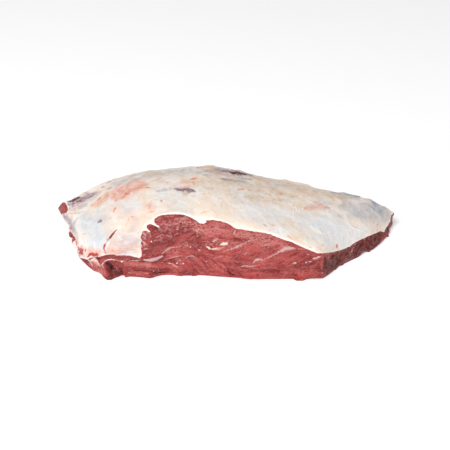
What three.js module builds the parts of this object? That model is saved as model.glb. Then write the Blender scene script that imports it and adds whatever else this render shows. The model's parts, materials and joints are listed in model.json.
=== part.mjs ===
// Raw beef oyster blade: one flat slab of lean muscle, cut clean along the front and the right end,
// under a thin cover of fat and silverskin that runs over the top, the left flank and the back.
// Units are millimetres, +Z is up, +X runs along the length and +Y from the cut front to the back.
// The shape is laid out from the front left corner and then moved, so that the origin ends up
// at the middle of the underside.

import * as THREE from "three";
import { mergeVertices } from "three/addons/utils/BufferGeometryUtils.js";

// ---- driving sizes -------------------------------------------------------------------------

const COVER_THICKNESS = 3; // fat and silverskin over the lean
const SEAM_GAP = 0.3; // left between the cover and the lean
const FOOT_HEIGHT = 2; // height of the rounded lower edge
const FOOT_INSET = 4; // how far the flat underside stays inside the lower edge
const LAST_RING_TURN = THREE.MathUtils.degToRad(78); // the last ring before the crest line
const CREST_STEPS = 24; // parts that the crest line is divided into
const COVER_BANDS = 8; // rings of faces from the rim up to the crest
const SIDE_BANDS = 4; // rings of faces from the lower edge up to the rim
const CUT_STEP = 4.6; // spacing of the rings' points along the cut front and right end
const SKIN_STEP = 10; // the same along the back and the left flank

// The crest is the high line of the top, from the left end to the right end.
const CREST = [
  new THREE.Vector3(-38, 142, 27),
  new THREE.Vector3(-6, 118, 54),
  new THREE.Vector3(22, 107, 70),
  new THREE.Vector3(56, 104, 75),
  new THREE.Vector3(110, 104, 78),
  new THREE.Vector3(180, 102, 62),
  new THREE.Vector3(240, 99, 50),
  new THREE.Vector3(284, 101, 41),
  new THREE.Vector3(308, 110, 33),
];

// Stations run once round the slab, starting at the front left heel and going along the front first.
// foot is the outline on the table, rim is where the lean face ends and the cover begins, and
// shoulder is how square the cover turns over there: 2 is an ellipse, more is squarer.
const STATIONS = [
  { name: "front left heel", foot: [1, -7], rim: [2, 4, 26], shoulder: 2.6, cut: true },
  { name: "heel gap", foot: [13, 0], rim: [14, 4, 27], shoulder: 2.8, cut: true },
  { name: "below the step", foot: [35, -1], rim: [36.5, 2, 25], shoulder: 3.2, cut: true },
  { name: "above the step", foot: [39.5, -2], rim: [40, 8, 51], shoulder: 2.6, cut: true },
  { name: "lobe shoulder", foot: [46, -4], rim: [48, 12, 61], shoulder: 2.3, cut: true },
  { name: "lobe crown", foot: [62, 3], rim: [63, 14, 71], shoulder: 2.1, cut: true },
  { name: "lobe crown end", foot: [86, 2], rim: [86, 14, 71], shoulder: 2.1, cut: true },
  { name: "dip", foot: [101, 3], rim: [101, 12, 63], shoulder: 2.6, cut: true },
  { name: "second crown", foot: [116, 1], rim: [116, 9, 67], shoulder: 2.2, cut: true },
  { name: "cleft", foot: [140, -2], rim: [140, 6, 58], shoulder: 2.3, cut: true },
  { name: "middle of the front", foot: [165, -5], rim: [168, 2, 55], shoulder: 2.2, cut: true },
  { name: "falling front", foot: [202, -5], rim: [201, 0, 45], shoulder: 2.2, cut: true },
  { name: "front right corner", foot: [233, -5], rim: [233, 0, 30], shoulder: 2, cut: true },
  { name: "corner turned", foot: [243, 4], rim: [243, 9, 25], shoulder: 2, cut: true },
  { name: "right end near", foot: [262, 28], rim: [260, 31, 19], shoulder: 2, cut: true },
  { name: "right end middle", foot: [300, 63], rim: [296, 69, 19], shoulder: 2, cut: true },
  { name: "right end far", foot: [322, 98], rim: [317, 98, 13], shoulder: 2, cut: true },
  { name: "right tip", foot: [332, 122], rim: [329, 118, 18], shoulder: 2, cut: false },
  { name: "back right", foot: [308, 142], rim: [305, 139, 16], shoulder: 2, cut: false },
  { name: "back middle", foot: [200, 174], rim: [200, 169, 18], shoulder: 2.1, cut: false },
  { name: "back left", foot: [60, 180], rim: [61, 175, 18], shoulder: 2.1, cut: false },
  { name: "left back", foot: [-42, 178], rim: [-40, 172, 10], shoulder: 1.7, cut: false },
  { name: "left tip", foot: [-76, 168], rim: [-72, 164, 11], shoulder: 1.6, cut: false },
  { name: "left flank far", foot: [-57, 108], rim: [-54, 109, 6], shoulder: 1.7, cut: false },
  { name: "left flank near", foot: [-40, 50], rim: [-38, 52, 5], shoulder: 2, cut: false },
  { name: "left heel", foot: [-16, 12], rim: [-12, 18, 18], shoulder: 2.2, cut: false },
];

// Round swellings of the cut front: where along it, how high, how wide and how far out.
const SWELLINGS = [
  { name: "left lobe", x: 66, z: 34, width: 24, height: 20, out: 4 },
  { name: "crease between lobes", x: 103, z: 40, width: 12, height: 22, out: -2 },
  { name: "middle muscle", x: 150, z: 30, width: 45, height: 22, out: 2.5 },
  { name: "heel strip", x: 16, z: 14, width: 20, height: 8, out: 2 },
];

const LEAN_FINISH = new THREE.MeshStandardMaterial({ color: 0xa94b4b, roughness: 0.45, metalness: 0 });
const COVER_FINISH = new THREE.MeshStandardMaterial({ color: 0xefe3d8, roughness: 0.5, metalness: 0 });

// ---- curves round the slab -----------------------------------------------------------------

const footCurve = new THREE.CatmullRomCurve3(
  STATIONS.map(({ foot: [x, y] }) => new THREE.Vector3(x, y, 0)), true);
const rimCurve = new THREE.CatmullRomCurve3(
  STATIONS.map(({ rim: [x, y, z] }) => new THREE.Vector3(x, y, z)), true);
const crestCurve = new THREE.CatmullRomCurve3(CREST);

/** Curve parameters round the slab, closer together along the cut faces. */
function aroundParameters() {
  const parameters = [];
  STATIONS.forEach((station, i) => {
    const next = STATIONS[(i + 1) % STATIONS.length];
    const span = Math.hypot(next.foot[0] - station.foot[0], next.foot[1] - station.foot[1]);
    const steps = Math.max(2, Math.round(span / (station.cut ? CUT_STEP : SKIN_STEP)));
    for (let k = 0; k < steps; k += 1) {
      parameters.push((i + k / steps) / STATIONS.length);
    }
  });
  return parameters;
}

/** A station's number, carried evenly from each station to the next. */
function evenly(parameter, key) {
  const place = parameter * STATIONS.length;
  const i = Math.floor(place) % STATIONS.length;
  const next = STATIONS[(i + 1) % STATIONS.length];
  return THREE.MathUtils.lerp(STATIONS[i][key], next[key], place - Math.floor(place));
}

/** The unit vector in plan that points from the outline into the slab. */
function inwardAt(parameter) {
  const along = footCurve.getTangent(parameter);
  return new THREE.Vector3(-along.y, along.x, 0).normalize();
}

/** How far along the crest a rim point's ring lines run to: both keep the same share of length. */
function crestShare(parameter) {
  const tipX = STATIONS.map((station) => station.rim[0]);
  const share = (rimCurve.getPoint(parameter).x - Math.min(...tipX))
    / (Math.max(...tipX) - Math.min(...tipX));
  return THREE.MathUtils.clamp(share, 0, 1);
}

// ---- rings of points -----------------------------------------------------------------------

const AROUND = aroundParameters();

/** The flat edge of the underside. */
function undersideRing() {
  return AROUND.map((parameter) => {
    const point = footCurve.getPoint(parameter);
    return point.addScaledVector(inwardAt(parameter), FOOT_INSET).setZ(0);
  });
}

/** How far the swellings push a point of the cut front towards the viewer. */
function swellingAt(x, z) {
  return SWELLINGS.reduce((sum, s) => {
    const reach = ((x - s.x) / s.width) ** 2 + ((z - s.z) / s.height) ** 2;
    return sum + s.out * Math.exp(-reach);
  }, 0);
}

/** A ring of the lean face, from the lower edge (share 0) to the rim (share 1). */
function sideRing(share) {
  return AROUND.map((parameter) => {
    const rim = rimCurve.getPoint(parameter);
    const foot = footCurve.getPoint(parameter).setZ(Math.min(FOOT_HEIGHT, rim.z / 2));
    const point = foot.lerp(rim, share);
    const facesFront = THREE.MathUtils.smoothstep(inwardAt(parameter).y, 0.5, 1);
    const freeOfEdges = Math.sin(Math.PI * share);
    point.y -= swellingAt(point.x, point.z) * freeOfEdges * facesFront;
    return point;
  });
}

/**
 * A ring of the domed top. turn runs from 0 at the rim to a right angle at the crest;
 * inset and drop move the rim inwards and the crest down, lift raises the whole ring.
 */
function domeRing(turn, { inset, drop, lift }) {
  return AROUND.map((parameter) => {
    const power = 2 / evenly(parameter, "shoulder");
    const planShare = 1 - Math.cos(turn) ** power;
    const heightShare = Math.sin(turn) ** power;
    const crest = crestCurve.getPoint(crestShare(parameter));
    const rim = rimCurve.getPoint(parameter);
    rim.addScaledVector(inwardAt(parameter), inset);
    const x = THREE.MathUtils.lerp(rim.x, crest.x, planShare);
    const y = THREE.MathUtils.lerp(rim.y, crest.y, planShare);
    const z = THREE.MathUtils.lerp(rim.z + lift, crest.z - drop, heightShare);
    return new THREE.Vector3(x, y, z);
  });
}

/** All rings of one dome surface, from the rim to the last ring below the crest. */
function domeRings(offsets) {
  return Array.from({ length: COVER_BANDS + 1 }, (_, k) =>
    domeRing((LAST_RING_TURN * k) / COVER_BANDS, offsets));
}

/** The points of the crest line, lowered by drop. */
function crestLine(drop) {
  return crestCurve.getPoints(CREST_STEPS).map((point) => point.setZ(point.z - drop));
}

// ---- closed bodies from rings --------------------------------------------------------------

/** Triangles that fill the flat underside, facing down. */
function undersideTriangles(ring) {
  const outline = ring.map((point) => new THREE.Vector2(point.x, point.y));
  const faces = THREE.ShapeUtils.triangulateShape(outline, []);
  return faces.map(([a, b, c]) => [ring[a], ring[c], ring[b]]);
}

/** Triangles between two rings; the first ring is the lower or outer one. */
function bandTriangles(first, second) {
  return first.flatMap((point, i) => {
    const j = (i + 1) % first.length;
    return [
      [point, first[j], second[j]],
      [point, second[j], second[i]],
    ];
  });
}

/** Triangles from the last ring of a dome to its crest line, facing up. */
function crestTriangles(ring, line) {
  const reached = AROUND.map((parameter) => Math.round(crestShare(parameter) * CREST_STEPS));
  return ring.flatMap((point, i) => {
    const j = (i + 1) % ring.length;
    const step = Math.sign(reached[j] - reached[i]);
    const triangles = [[point, ring[j], line[reached[j]]]];
    for (let k = reached[j]; k !== reached[i]; k -= step) {
      triangles.push([point, line[k], line[k - step]]);
    }
    return triangles;
  });
}

/** The same triangles, facing the other way. */
function turnedOver(triangles) {
  return triangles.map(([a, b, c]) => [a, c, b]);
}

/** Triangles of a stack of rings, each ring joined to the next. */
function stackTriangles(rings) {
  return rings.slice(1).flatMap((ring, k) => bandTriangles(rings[k], ring));
}

/** One closed body from all its triangles. */
function closedGeometry(triangles) {
  const geometry = new THREE.BufferGeometry();
  geometry.setFromPoints(triangles.flat());
  const welded = mergeVertices(geometry, 1e-4);
  welded.computeVertexNormals();
  return welded;
}

/** The lean: flat underside, cut side faces, a ledge at the rim and the top under the cover. */
function leanGeometry() {
  const depth = COVER_THICKNESS + SEAM_GAP;
  const underside = undersideRing();
  const sides = Array.from({ length: SIDE_BANDS + 1 }, (_, k) => sideRing(k / SIDE_BANDS));
  const covered = domeRings({ inset: depth, drop: depth, lift: 0 });
  return closedGeometry([
    ...undersideTriangles(underside),
    ...stackTriangles([underside, ...sides, ...covered]),
    ...crestTriangles(covered.at(-1), crestLine(depth)),
  ]);
}

/** The cover: a shell open below, with an inner face, a thin edge at the rim and an outer face. */
function coverGeometry() {
  const inner = domeRings({ inset: COVER_THICKNESS, drop: COVER_THICKNESS, lift: SEAM_GAP });
  const outer = domeRings({ inset: 0, drop: 0, lift: SEAM_GAP });
  return closedGeometry([
    ...turnedOver(crestTriangles(inner.at(-1), crestLine(COVER_THICKNESS))),
    ...turnedOver(stackTriangles(inner)),
    ...turnedOver(bandTriangles(outer[0], inner[0])),
    ...stackTriangles(outer),
    ...crestTriangles(outer.at(-1), crestLine(0)),
  ]);
}

// ---- the part ------------------------------------------------------------------------------

const lean = new THREE.Mesh(leanGeometry(), LEAN_FINISH);
lean.name = "lean";

const fatCover = new THREE.Mesh(coverGeometry(), COVER_FINISH);
fatCover.name = "fat_cover";

const slab = new THREE.Group();
slab.add(lean, fatCover);

const box = new THREE.Box3().setFromObject(slab);
const middle = box.getCenter(new THREE.Vector3());
slab.position.set(-middle.x, -middle.y, -box.min.z);

const oysterBlade = new THREE.Group();
oysterBlade.add(slab);
oysterBlade.updateMatrixWorld(true);

export default oysterBlade;
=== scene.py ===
"""Looks for one whole raw beef oyster blade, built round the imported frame.

The body of the slab is grown from the frame's two solids, carved with the folds, seams and
swellings of the photograph, and then parted along the border of the fat: into the lean muscle
and the cover that lies over it. Lengths are in millimetres until a mesh is handed to Blender.
"""

import json
import logging
import math
from dataclasses import dataclass, field
from enum import Enum

import bmesh
import bpy
import numpy as np
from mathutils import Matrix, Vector
from mathutils.bvhtree import BVHTree

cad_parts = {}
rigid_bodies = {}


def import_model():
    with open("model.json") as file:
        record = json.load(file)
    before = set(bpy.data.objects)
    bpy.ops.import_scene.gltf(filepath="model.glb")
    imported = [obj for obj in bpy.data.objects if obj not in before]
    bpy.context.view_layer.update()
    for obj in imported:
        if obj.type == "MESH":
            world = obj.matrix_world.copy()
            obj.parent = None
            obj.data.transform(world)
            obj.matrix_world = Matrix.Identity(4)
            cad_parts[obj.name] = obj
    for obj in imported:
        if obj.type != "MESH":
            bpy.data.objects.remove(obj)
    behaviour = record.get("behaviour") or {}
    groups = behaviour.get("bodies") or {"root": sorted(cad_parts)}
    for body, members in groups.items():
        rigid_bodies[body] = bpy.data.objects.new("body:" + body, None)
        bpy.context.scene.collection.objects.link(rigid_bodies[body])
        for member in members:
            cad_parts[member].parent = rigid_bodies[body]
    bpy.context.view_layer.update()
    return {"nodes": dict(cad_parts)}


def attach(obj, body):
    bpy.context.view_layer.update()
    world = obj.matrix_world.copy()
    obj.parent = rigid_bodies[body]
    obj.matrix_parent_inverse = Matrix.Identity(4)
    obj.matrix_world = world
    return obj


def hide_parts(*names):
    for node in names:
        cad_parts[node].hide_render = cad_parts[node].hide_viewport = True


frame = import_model()

METRE = 1000.0  # millimetres in one of Blender's units
SEED = 7
TINY = 1e-12  # keeps divisions away from zero
log = logging.getLogger("oyster_blade")

Pixel = tuple[float, float]
Span = tuple[float, float]
Triple = tuple[float, float, float]
Colour = tuple[float, float, float]


def from_srgb(red: float, green: float, blue: float) -> Colour:
    """Turn screen values into a linear colour.

    Args:
        red: From 0 to 255.
        green: From 0 to 255.
        blue: From 0 to 255.

    Returns:
        The linear colour.
    """
    knee, slope, offset, power = 0.04045, 12.92, 0.055, 2.4  # of the sRGB standard
    shares = (channel / 255 for channel in (red, green, blue))
    return tuple(
        share / slope if share <= knee else ((share + offset) / (1.0 + offset)) ** power
        for share in shares
    )


def ease(values: np.ndarray, low: float, high: float) -> np.ndarray:
    """Step smoothly from 0 at low to 1 at high.

    Args:
        values: Any array.
        low: Where the step starts; it may be above high.
        high: Where it ends.

    Returns:
        An array of the same shape.
    """
    share = np.clip((values - low) / (high - low), 0.0, 1.0)
    return share * share * (3.0 - 2.0 * share)


# ---- the photograph's camera ----------------------------------------------------------------


@dataclass(frozen=True)
class PhotoCamera:
    """The photograph's viewpoint, and the way from its pixels to the model and back."""

    lens: float = 85.0
    sensor: float = 36.0
    picture: float = 450.0  # its width and height in pixels
    distance: float = 1220.0
    elevation: float = math.radians(28.0)
    aim: Triple = (1.4, -19.6, 30.0)
    depth_share: float = 0.28  # how much of a distance in depth counts where marks are measured

    @property
    def focal(self) -> float:
        """Focal length in pixels."""
        return self.lens / self.sensor * self.picture

    @property
    def pixel_size(self) -> float:
        """Millimetres across one pixel at the aim."""
        return self.distance / self.focal

    @property
    def axes(self) -> tuple[np.ndarray, np.ndarray, np.ndarray]:
        """Right, up and forward."""
        sine, cosine = math.sin(self.elevation), math.cos(self.elevation)
        return np.array([1.0, 0, 0]), np.array([0, sine, cosine]), np.array([0, cosine, -sine])

    @property
    def place(self) -> np.ndarray:
        """Where the camera stands."""
        return np.array(self.aim) - self.axes[2] * self.distance

    def ray(self, pixel: Pixel) -> np.ndarray:
        """Find the direction that a pixel looks in.

        Args:
            pixel: x and y in the photograph.

        Returns:
            A unit vector.
        """
        right, up, forward = self.axes
        across = (pixel[0] - self.picture / 2) / self.focal
        down = (pixel[1] - self.picture / 2) / self.focal
        direction = forward + right * across - up * down
        return direction / np.linalg.norm(direction)

    def project(self, points: np.ndarray) -> np.ndarray:
        """Find the pixels of points.

        Args:
            points: An array of shape (n, 3).

        Returns:
            An array of shape (n, 2).
        """
        right, up, forward = self.axes
        offset = points - self.place
        depth = offset @ forward
        across = self.picture / 2 + self.focal * (offset @ right) / depth
        down = self.picture / 2 - self.focal * (offset @ up) / depth
        return np.stack([across, down], axis=1)

    def facing(self, points: np.ndarray, normals: np.ndarray) -> np.ndarray:
        """Measure how squarely surfaces face the camera.

        Args:
            points: Points of the surfaces.
            normals: Their unit normals.

        Returns:
            1 for square on, below 0 for turned away.
        """
        sight = self.place - points
        return (normals * sight).sum(axis=1) / np.linalg.norm(sight, axis=1)

    def flattened(self, points: np.ndarray) -> np.ndarray:
        """Turn points to the picture's plane and shorten their depth, to measure as it is seen.

        Args:
            points: An array of shape (n, 3).

        Returns:
            Across, up and shortened depth, of shape (n, 3).
        """
        right, up, forward = self.axes
        return points @ np.stack([right, up, forward * self.depth_share], axis=1)

    def build(self) -> None:
        """Add the camera to the scene."""
        data = bpy.data.cameras.new("photo_camera")
        data.lens, data.sensor_width = self.lens, self.sensor
        camera = bpy.data.objects.new("photo_camera", data)
        camera.location = Vector(self.place / METRE)
        camera.rotation_euler = (math.pi / 2 - self.elevation, 0.0, 0.0)
        bpy.context.scene.collection.objects.link(camera)
        bpy.context.scene.camera = camera


# ---- noise and meshes as arrays -------------------------------------------------------------


class LatticeNoise:
    """Smooth seeded noise in space, from -1 to 1."""

    CELLS = 32

    def __init__(self, seed: int) -> None:
        """Draw the lattice's values."""
        self.lattice = np.random.default_rng(seed).uniform(-1.0, 1.0, (self.CELLS,) * 3)

    def at(self, points: np.ndarray, grain: float) -> np.ndarray:
        """Read the noise.

        Args:
            points: An array of shape (n, 3).
            grain: Size of one lattice cell.

        Returns:
            One value per point.
        """
        place = points / grain
        cell = np.floor(place).astype(int)
        share = place - cell
        share = share * share * (3.0 - 2.0 * share)
        total = np.zeros(len(points))
        for corner in np.ndindex(2, 2, 2):
            index = (cell + corner) % self.CELLS
            weight = np.prod(np.where(corner, share, 1.0 - share), axis=1)
            total += weight * self.lattice[index[:, 0], index[:, 1], index[:, 2]]
        return total

    def rough(self, points: np.ndarray, grain: float, layers: int) -> np.ndarray:
        """Sum layers of noise, each half the size and strength of the one before.

        Args:
            points: An array of shape (n, 3).
            grain: Cell size of the first layer.
            layers: How many layers.

        Returns:
            One value per point.
        """
        shift = 17.3  # keeps the layers' lattices apart
        return sum(self.at(points + shift * k, grain / 2**k) / 2**k for k in range(layers))


@dataclass
class Skin:
    """A triangle mesh as arrays, in millimetres."""

    points: np.ndarray
    triangles: np.ndarray

    @classmethod
    def of_object(cls, source: bpy.types.Object) -> "Skin":
        """Read an object's mesh with its modifiers.

        Args:
            source: A mesh object.

        Returns:
            The triangulated mesh.
        """
        evaluated = source.evaluated_get(bpy.context.evaluated_depsgraph_get())
        mesh = evaluated.to_mesh()
        mesh.calc_loop_triangles()
        points = np.empty(len(mesh.vertices) * 3)
        triangles = np.empty(len(mesh.loop_triangles) * 3, dtype=np.int32)
        mesh.vertices.foreach_get("co", points)
        mesh.loop_triangles.foreach_get("vertices", triangles)
        evaluated.to_mesh_clear()
        return cls(points.reshape(-1, 3) * METRE, triangles.reshape(-1, 3).astype(int))

    def normals(self) -> np.ndarray:
        """Average the faces round each point into its unit normal.

        Returns:
            An array of shape (n, 3).
        """
        a, b, c = (self.points[self.triangles[:, k]] for k in range(3))
        faces = np.repeat(np.cross(b - a, c - a), 3, axis=0)
        total = self.gathered(self.triangles.ravel(), faces)
        return total / np.maximum(np.linalg.norm(total, axis=1, keepdims=True), TINY)

    def gathered(self, index: np.ndarray, rows: np.ndarray) -> np.ndarray:
        """Add rows up at points.

        Args:
            index: The point of each row.
            rows: An array of shape (m, 3).

        Returns:
            The sums, of shape (n, 3).
        """
        size = len(self.points)
        sums = [np.bincount(index, weights=rows[:, axis], minlength=size) for axis in range(3)]
        return np.stack(sums, axis=1)

    def directed_edges(self) -> np.ndarray:
        """List the start and end of each triangle's three sides."""
        return np.concatenate([self.triangles[:, pair] for pair in ([0, 1], [1, 2], [2, 0])])

    def smoothed(self, rounds: int, amount: float) -> "Skin":
        """Pull each point towards the middle of its neighbours.

        Args:
            rounds: How many times.
            amount: Share of the way.

        Returns:
            The smoothed mesh.
        """
        start, end = self.directed_edges().T
        count = np.bincount(start, minlength=len(self.points))[:, None]
        points = self.points.copy()
        for _ in range(rounds):
            mean = self.gathered(start, points[end]) / np.maximum(count, 1)
            points += (mean - points) * amount
        return Skin(points, self.triangles)

    def largest_part(self) -> "Skin":
        """Drop all but the biggest connected part.

        Returns:
            The part.
        """
        label = np.arange(len(self.points))
        start, end = self.directed_edges().T
        while True:
            lower = label.copy()
            np.minimum.at(lower, start, label[end])
            np.minimum.at(lower, end, label[start])
            lower = lower[lower]
            if np.array_equal(lower, label):
                break
            label = lower
        wanted = np.bincount(label).argmax()
        return self.keeping(label[self.triangles[:, 0]] == wanted)

    def keeping(self, wanted: np.ndarray) -> "Skin":
        """Keep only the wanted triangles, and the points that they use.

        Args:
            wanted: True or False for each triangle.

        Returns:
            The smaller mesh.
        """
        used, renamed = np.unique(self.triangles[wanted], return_inverse=True)
        return Skin(self.points[used], renamed.reshape(-1, 3))

    def refined(self, wanted: np.ndarray) -> "Skin":
        """Split the wanted triangles in four, and their neighbours to match.

        Args:
            wanted: True or False for each triangle.

        Returns:
            The finer mesh.
        """
        size = len(self.points)
        sides = np.sort(self.triangles[:, [[0, 1], [1, 2], [2, 0]]], axis=2)
        keys = sides[..., 0] * size + sides[..., 1]
        split = np.unique(keys[wanted])
        marked = np.isin(keys, split)
        middle = size + np.searchsorted(split, np.where(marked, keys, split[0]))
        count = marked.sum(axis=1)
        # Turned so that a lone split side, or the first of two, runs from a to b.
        first = np.where(count == 2, (np.argmin(marked, axis=1) + 1) % 3, np.argmax(marked, axis=1))
        turn = (first[:, None] + np.arange(3)) % 3
        corners = np.take_along_axis(self.triangles, turn, axis=1)
        middle = np.take_along_axis(middle, turn, axis=1)
        a, b, c = corners.T
        ab, bc, ca = middle.T
        parts = [self.triangles[count == 0]]
        for amount, pieces in (
            (1, ((a, ab, c), (ab, b, c))),
            (2, ((b, bc, ab), (a, ab, bc), (a, bc, c))),
            (3, ((a, ab, ca), (ab, b, bc), (ca, bc, c), (ab, bc, ca))),
        ):
            parts += [np.stack(piece, axis=1)[count == amount] for piece in pieces]
        halves = (self.points[split // size] + self.points[split % size]) / 2
        return Skin(np.concatenate([self.points, halves]), np.concatenate(parts))

    def cut_above(self, level: np.ndarray) -> "Skin":
        """Keep the side where level is positive, cut clean along zero.

        Args:
            level: One value per point.

        Returns:
            The kept mesh.
        """
        least = 1e-6  # what lies on the border itself counts as just inside
        level = np.where(np.abs(level) < least, least, level)
        above = level[self.triangles] > 0
        count = above.sum(axis=1)
        crossings: dict[tuple[int, int], int] = {}

        def crossing(one: int, other: int) -> int:
            """Number the point where the side between two corners meets zero."""
            key = (min(one, other), max(one, other))
            return crossings.setdefault(key, len(self.points) + len(crossings))

        kept = [self.triangles[count == 3]]
        for triangle, sides in zip(self.triangles[count == 1], above[count == 1]):
            a, b, c = np.roll(triangle, -int(np.argmax(sides)))
            kept.append([[a, crossing(a, b), crossing(a, c)]])
        for triangle, sides in zip(self.triangles[count == 2], above[count == 2]):
            a, b, c = np.roll(triangle, -int(np.argmin(sides)))
            ab, ac = crossing(a, b), crossing(a, c)
            kept.append([[ab, b, c], [ab, c, ac]])
        one, other = np.array(list(crossings)).T
        share = (level[one] / (level[one] - level[other]))[:, None]
        cut_points = self.points[one] * (1 - share) + self.points[other] * share
        cut = Skin(np.concatenate([self.points, cut_points]), np.concatenate(kept).astype(int))
        return cut.keeping(np.ones(len(cut.triangles), bool))

    def rim(self) -> np.ndarray:
        """List the start and end of each side that only one triangle has.

        Returns:
            An array of shape (k, 2).
        """
        edges = self.directed_edges()
        size = len(self.points)
        forward = edges[:, 0] * size + edges[:, 1]
        backward = edges[:, 1] * size + edges[:, 0]
        return edges[~np.isin(forward, backward)]

    def to_object(self, name: str) -> bpy.types.Object:
        """Make a smooth-shaded Blender object.

        Args:
            name: The object's name.

        Returns:
            The object, linked to the scene.
        """
        mesh = bpy.data.meshes.new(name)
        mesh.from_pydata((self.points / METRE).tolist(), [], self.triangles.tolist())
        mesh.shade_smooth()
        made = bpy.data.objects.new(name, mesh)
        bpy.context.scene.collection.objects.link(made)
        return made

    def slimmed(self, hidden: np.ndarray, share: float) -> "Skin":
        """Merge triangles where they aren't seen.

        Args:
            hidden: From 0 to 1 for each point, 1 where it may be coarse.
            share: Share of the triangles that stays.

        Returns:
            The lighter mesh.
        """
        holder = self.to_object("slimming")
        group = holder.vertex_groups.new(name="hidden")
        for weight in (0.0, 1.0):
            group.add(np.flatnonzero((hidden > 0.5) == bool(weight)).tolist(), weight, "REPLACE")
        modifier = holder.modifiers.new("slimming", "DECIMATE")
        modifier.ratio = share
        modifier.vertex_group = "hidden"
        modifier.vertex_group_factor = 10.0  # how strongly what is seen keeps its triangles
        slim = Skin.of_object(holder)
        mesh = holder.data
        bpy.data.objects.remove(holder)
        bpy.data.meshes.remove(mesh)
        return slim


def follow_path(
    points: np.ndarray, path: np.ndarray, reach: float
) -> tuple[np.ndarray, np.ndarray]:
    """Measure from points to a line, and how far along it they are.

    Args:
        points: An array of shape (n, d).
        path: The line's points, of shape (k, d).
        reach: Distances beyond this come back as infinity.

    Returns:
        For each point its distance, and its place from 0 at the line's start to 1 at its end.
    """
    best, place = np.full(len(points), np.inf), np.zeros(len(points))
    near = np.all((points > path.min(0) - reach) & (points < path.max(0) + reach), axis=1)
    close = points[near]
    shortest, nearest = np.full(len(close), np.inf), np.zeros(len(close))
    for k, (start, end) in enumerate(zip(path[:-1], path[1:])):
        along = end - start
        share = np.clip((close - start) @ along / max(along @ along, TINY), 0.0, 1.0)
        away = np.linalg.norm(close - start - share[:, None] * along, axis=1)
        nearest = np.where(away < shortest, k + share, nearest)
        shortest = np.minimum(shortest, away)
    best[near] = np.where(shortest < reach, shortest, np.inf)
    place[near] = nearest / (len(path) - 1)
    return best, place


# ---- marks: what the photograph shows at a place --------------------------------------------


class Tint(Enum):
    """What a mark is made of, or the painted light or shade that it stands for; each finish has its
    own colour for it.
    """

    PEARL = "pearl"  # bluish white silverskin, also laid as painted sheen
    HONEY = "honey"  # beige fat, also laid as painted shade along one fold
    SLATE = "slate"  # grey blue silverskin, also laid as painted shade on the left flank, under the crest and on the far end
    PLUM = "plum"  # purple lean under thin silverskin, also laid as painted shade in a fold and on a slope
    BLUSH = "blush"  # orange red, where lean shines through the fat
    SALMON = "salmon"  # pale orange, tender fat in the lean
    RUBY = "ruby"  # bright red, bare lean
    DUSK = "dusk"  # lean in a darker, denser red, also laid as painted shade in creases, in the pocket and on the lobe
    PALE = "pale"  # lean with much fine fat in it, also laid as painted highlights on the right corner's edge and a few spots
    LACE = "lace"  # lean with a net of marbling
    SHADED_BROWN_END = "shaded_brown_end"  # painted shade of the right end, which faces away from the key light, in a browner red
    RISE = "rise"  # fibres that rise to the right
    FALL = "fall"  # fibres that fall to the right
    FASCIA_AND_HIGHLIGHT = "fascia_and_highlight"  # pale lilac connective tissue, also laid as painted glints and highlights
    SUET_AND_HIGHLIGHT = "suet_and_highlight"  # white fat, also laid as painted glints and painted light
    BLOOD_AND_SHADE = "blood_and_shade"  # deep red of maroon patches, and painted shade in slits, folds, holes and the pocket


@dataclass(frozen=True)
class Mark:
    """One place that differs from its surroundings, along a path of the photograph's pixels."""

    name: str
    tint: Tint
    path: tuple[Pixel, ...]
    reach: float  # half its width in millimetres
    strength: float = 1.0
    lift: float = 0.0  # height of its relief, below zero for a groove
    ragged: float = 0.35  # how far its edge wanders, as a share of its reach


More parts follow.
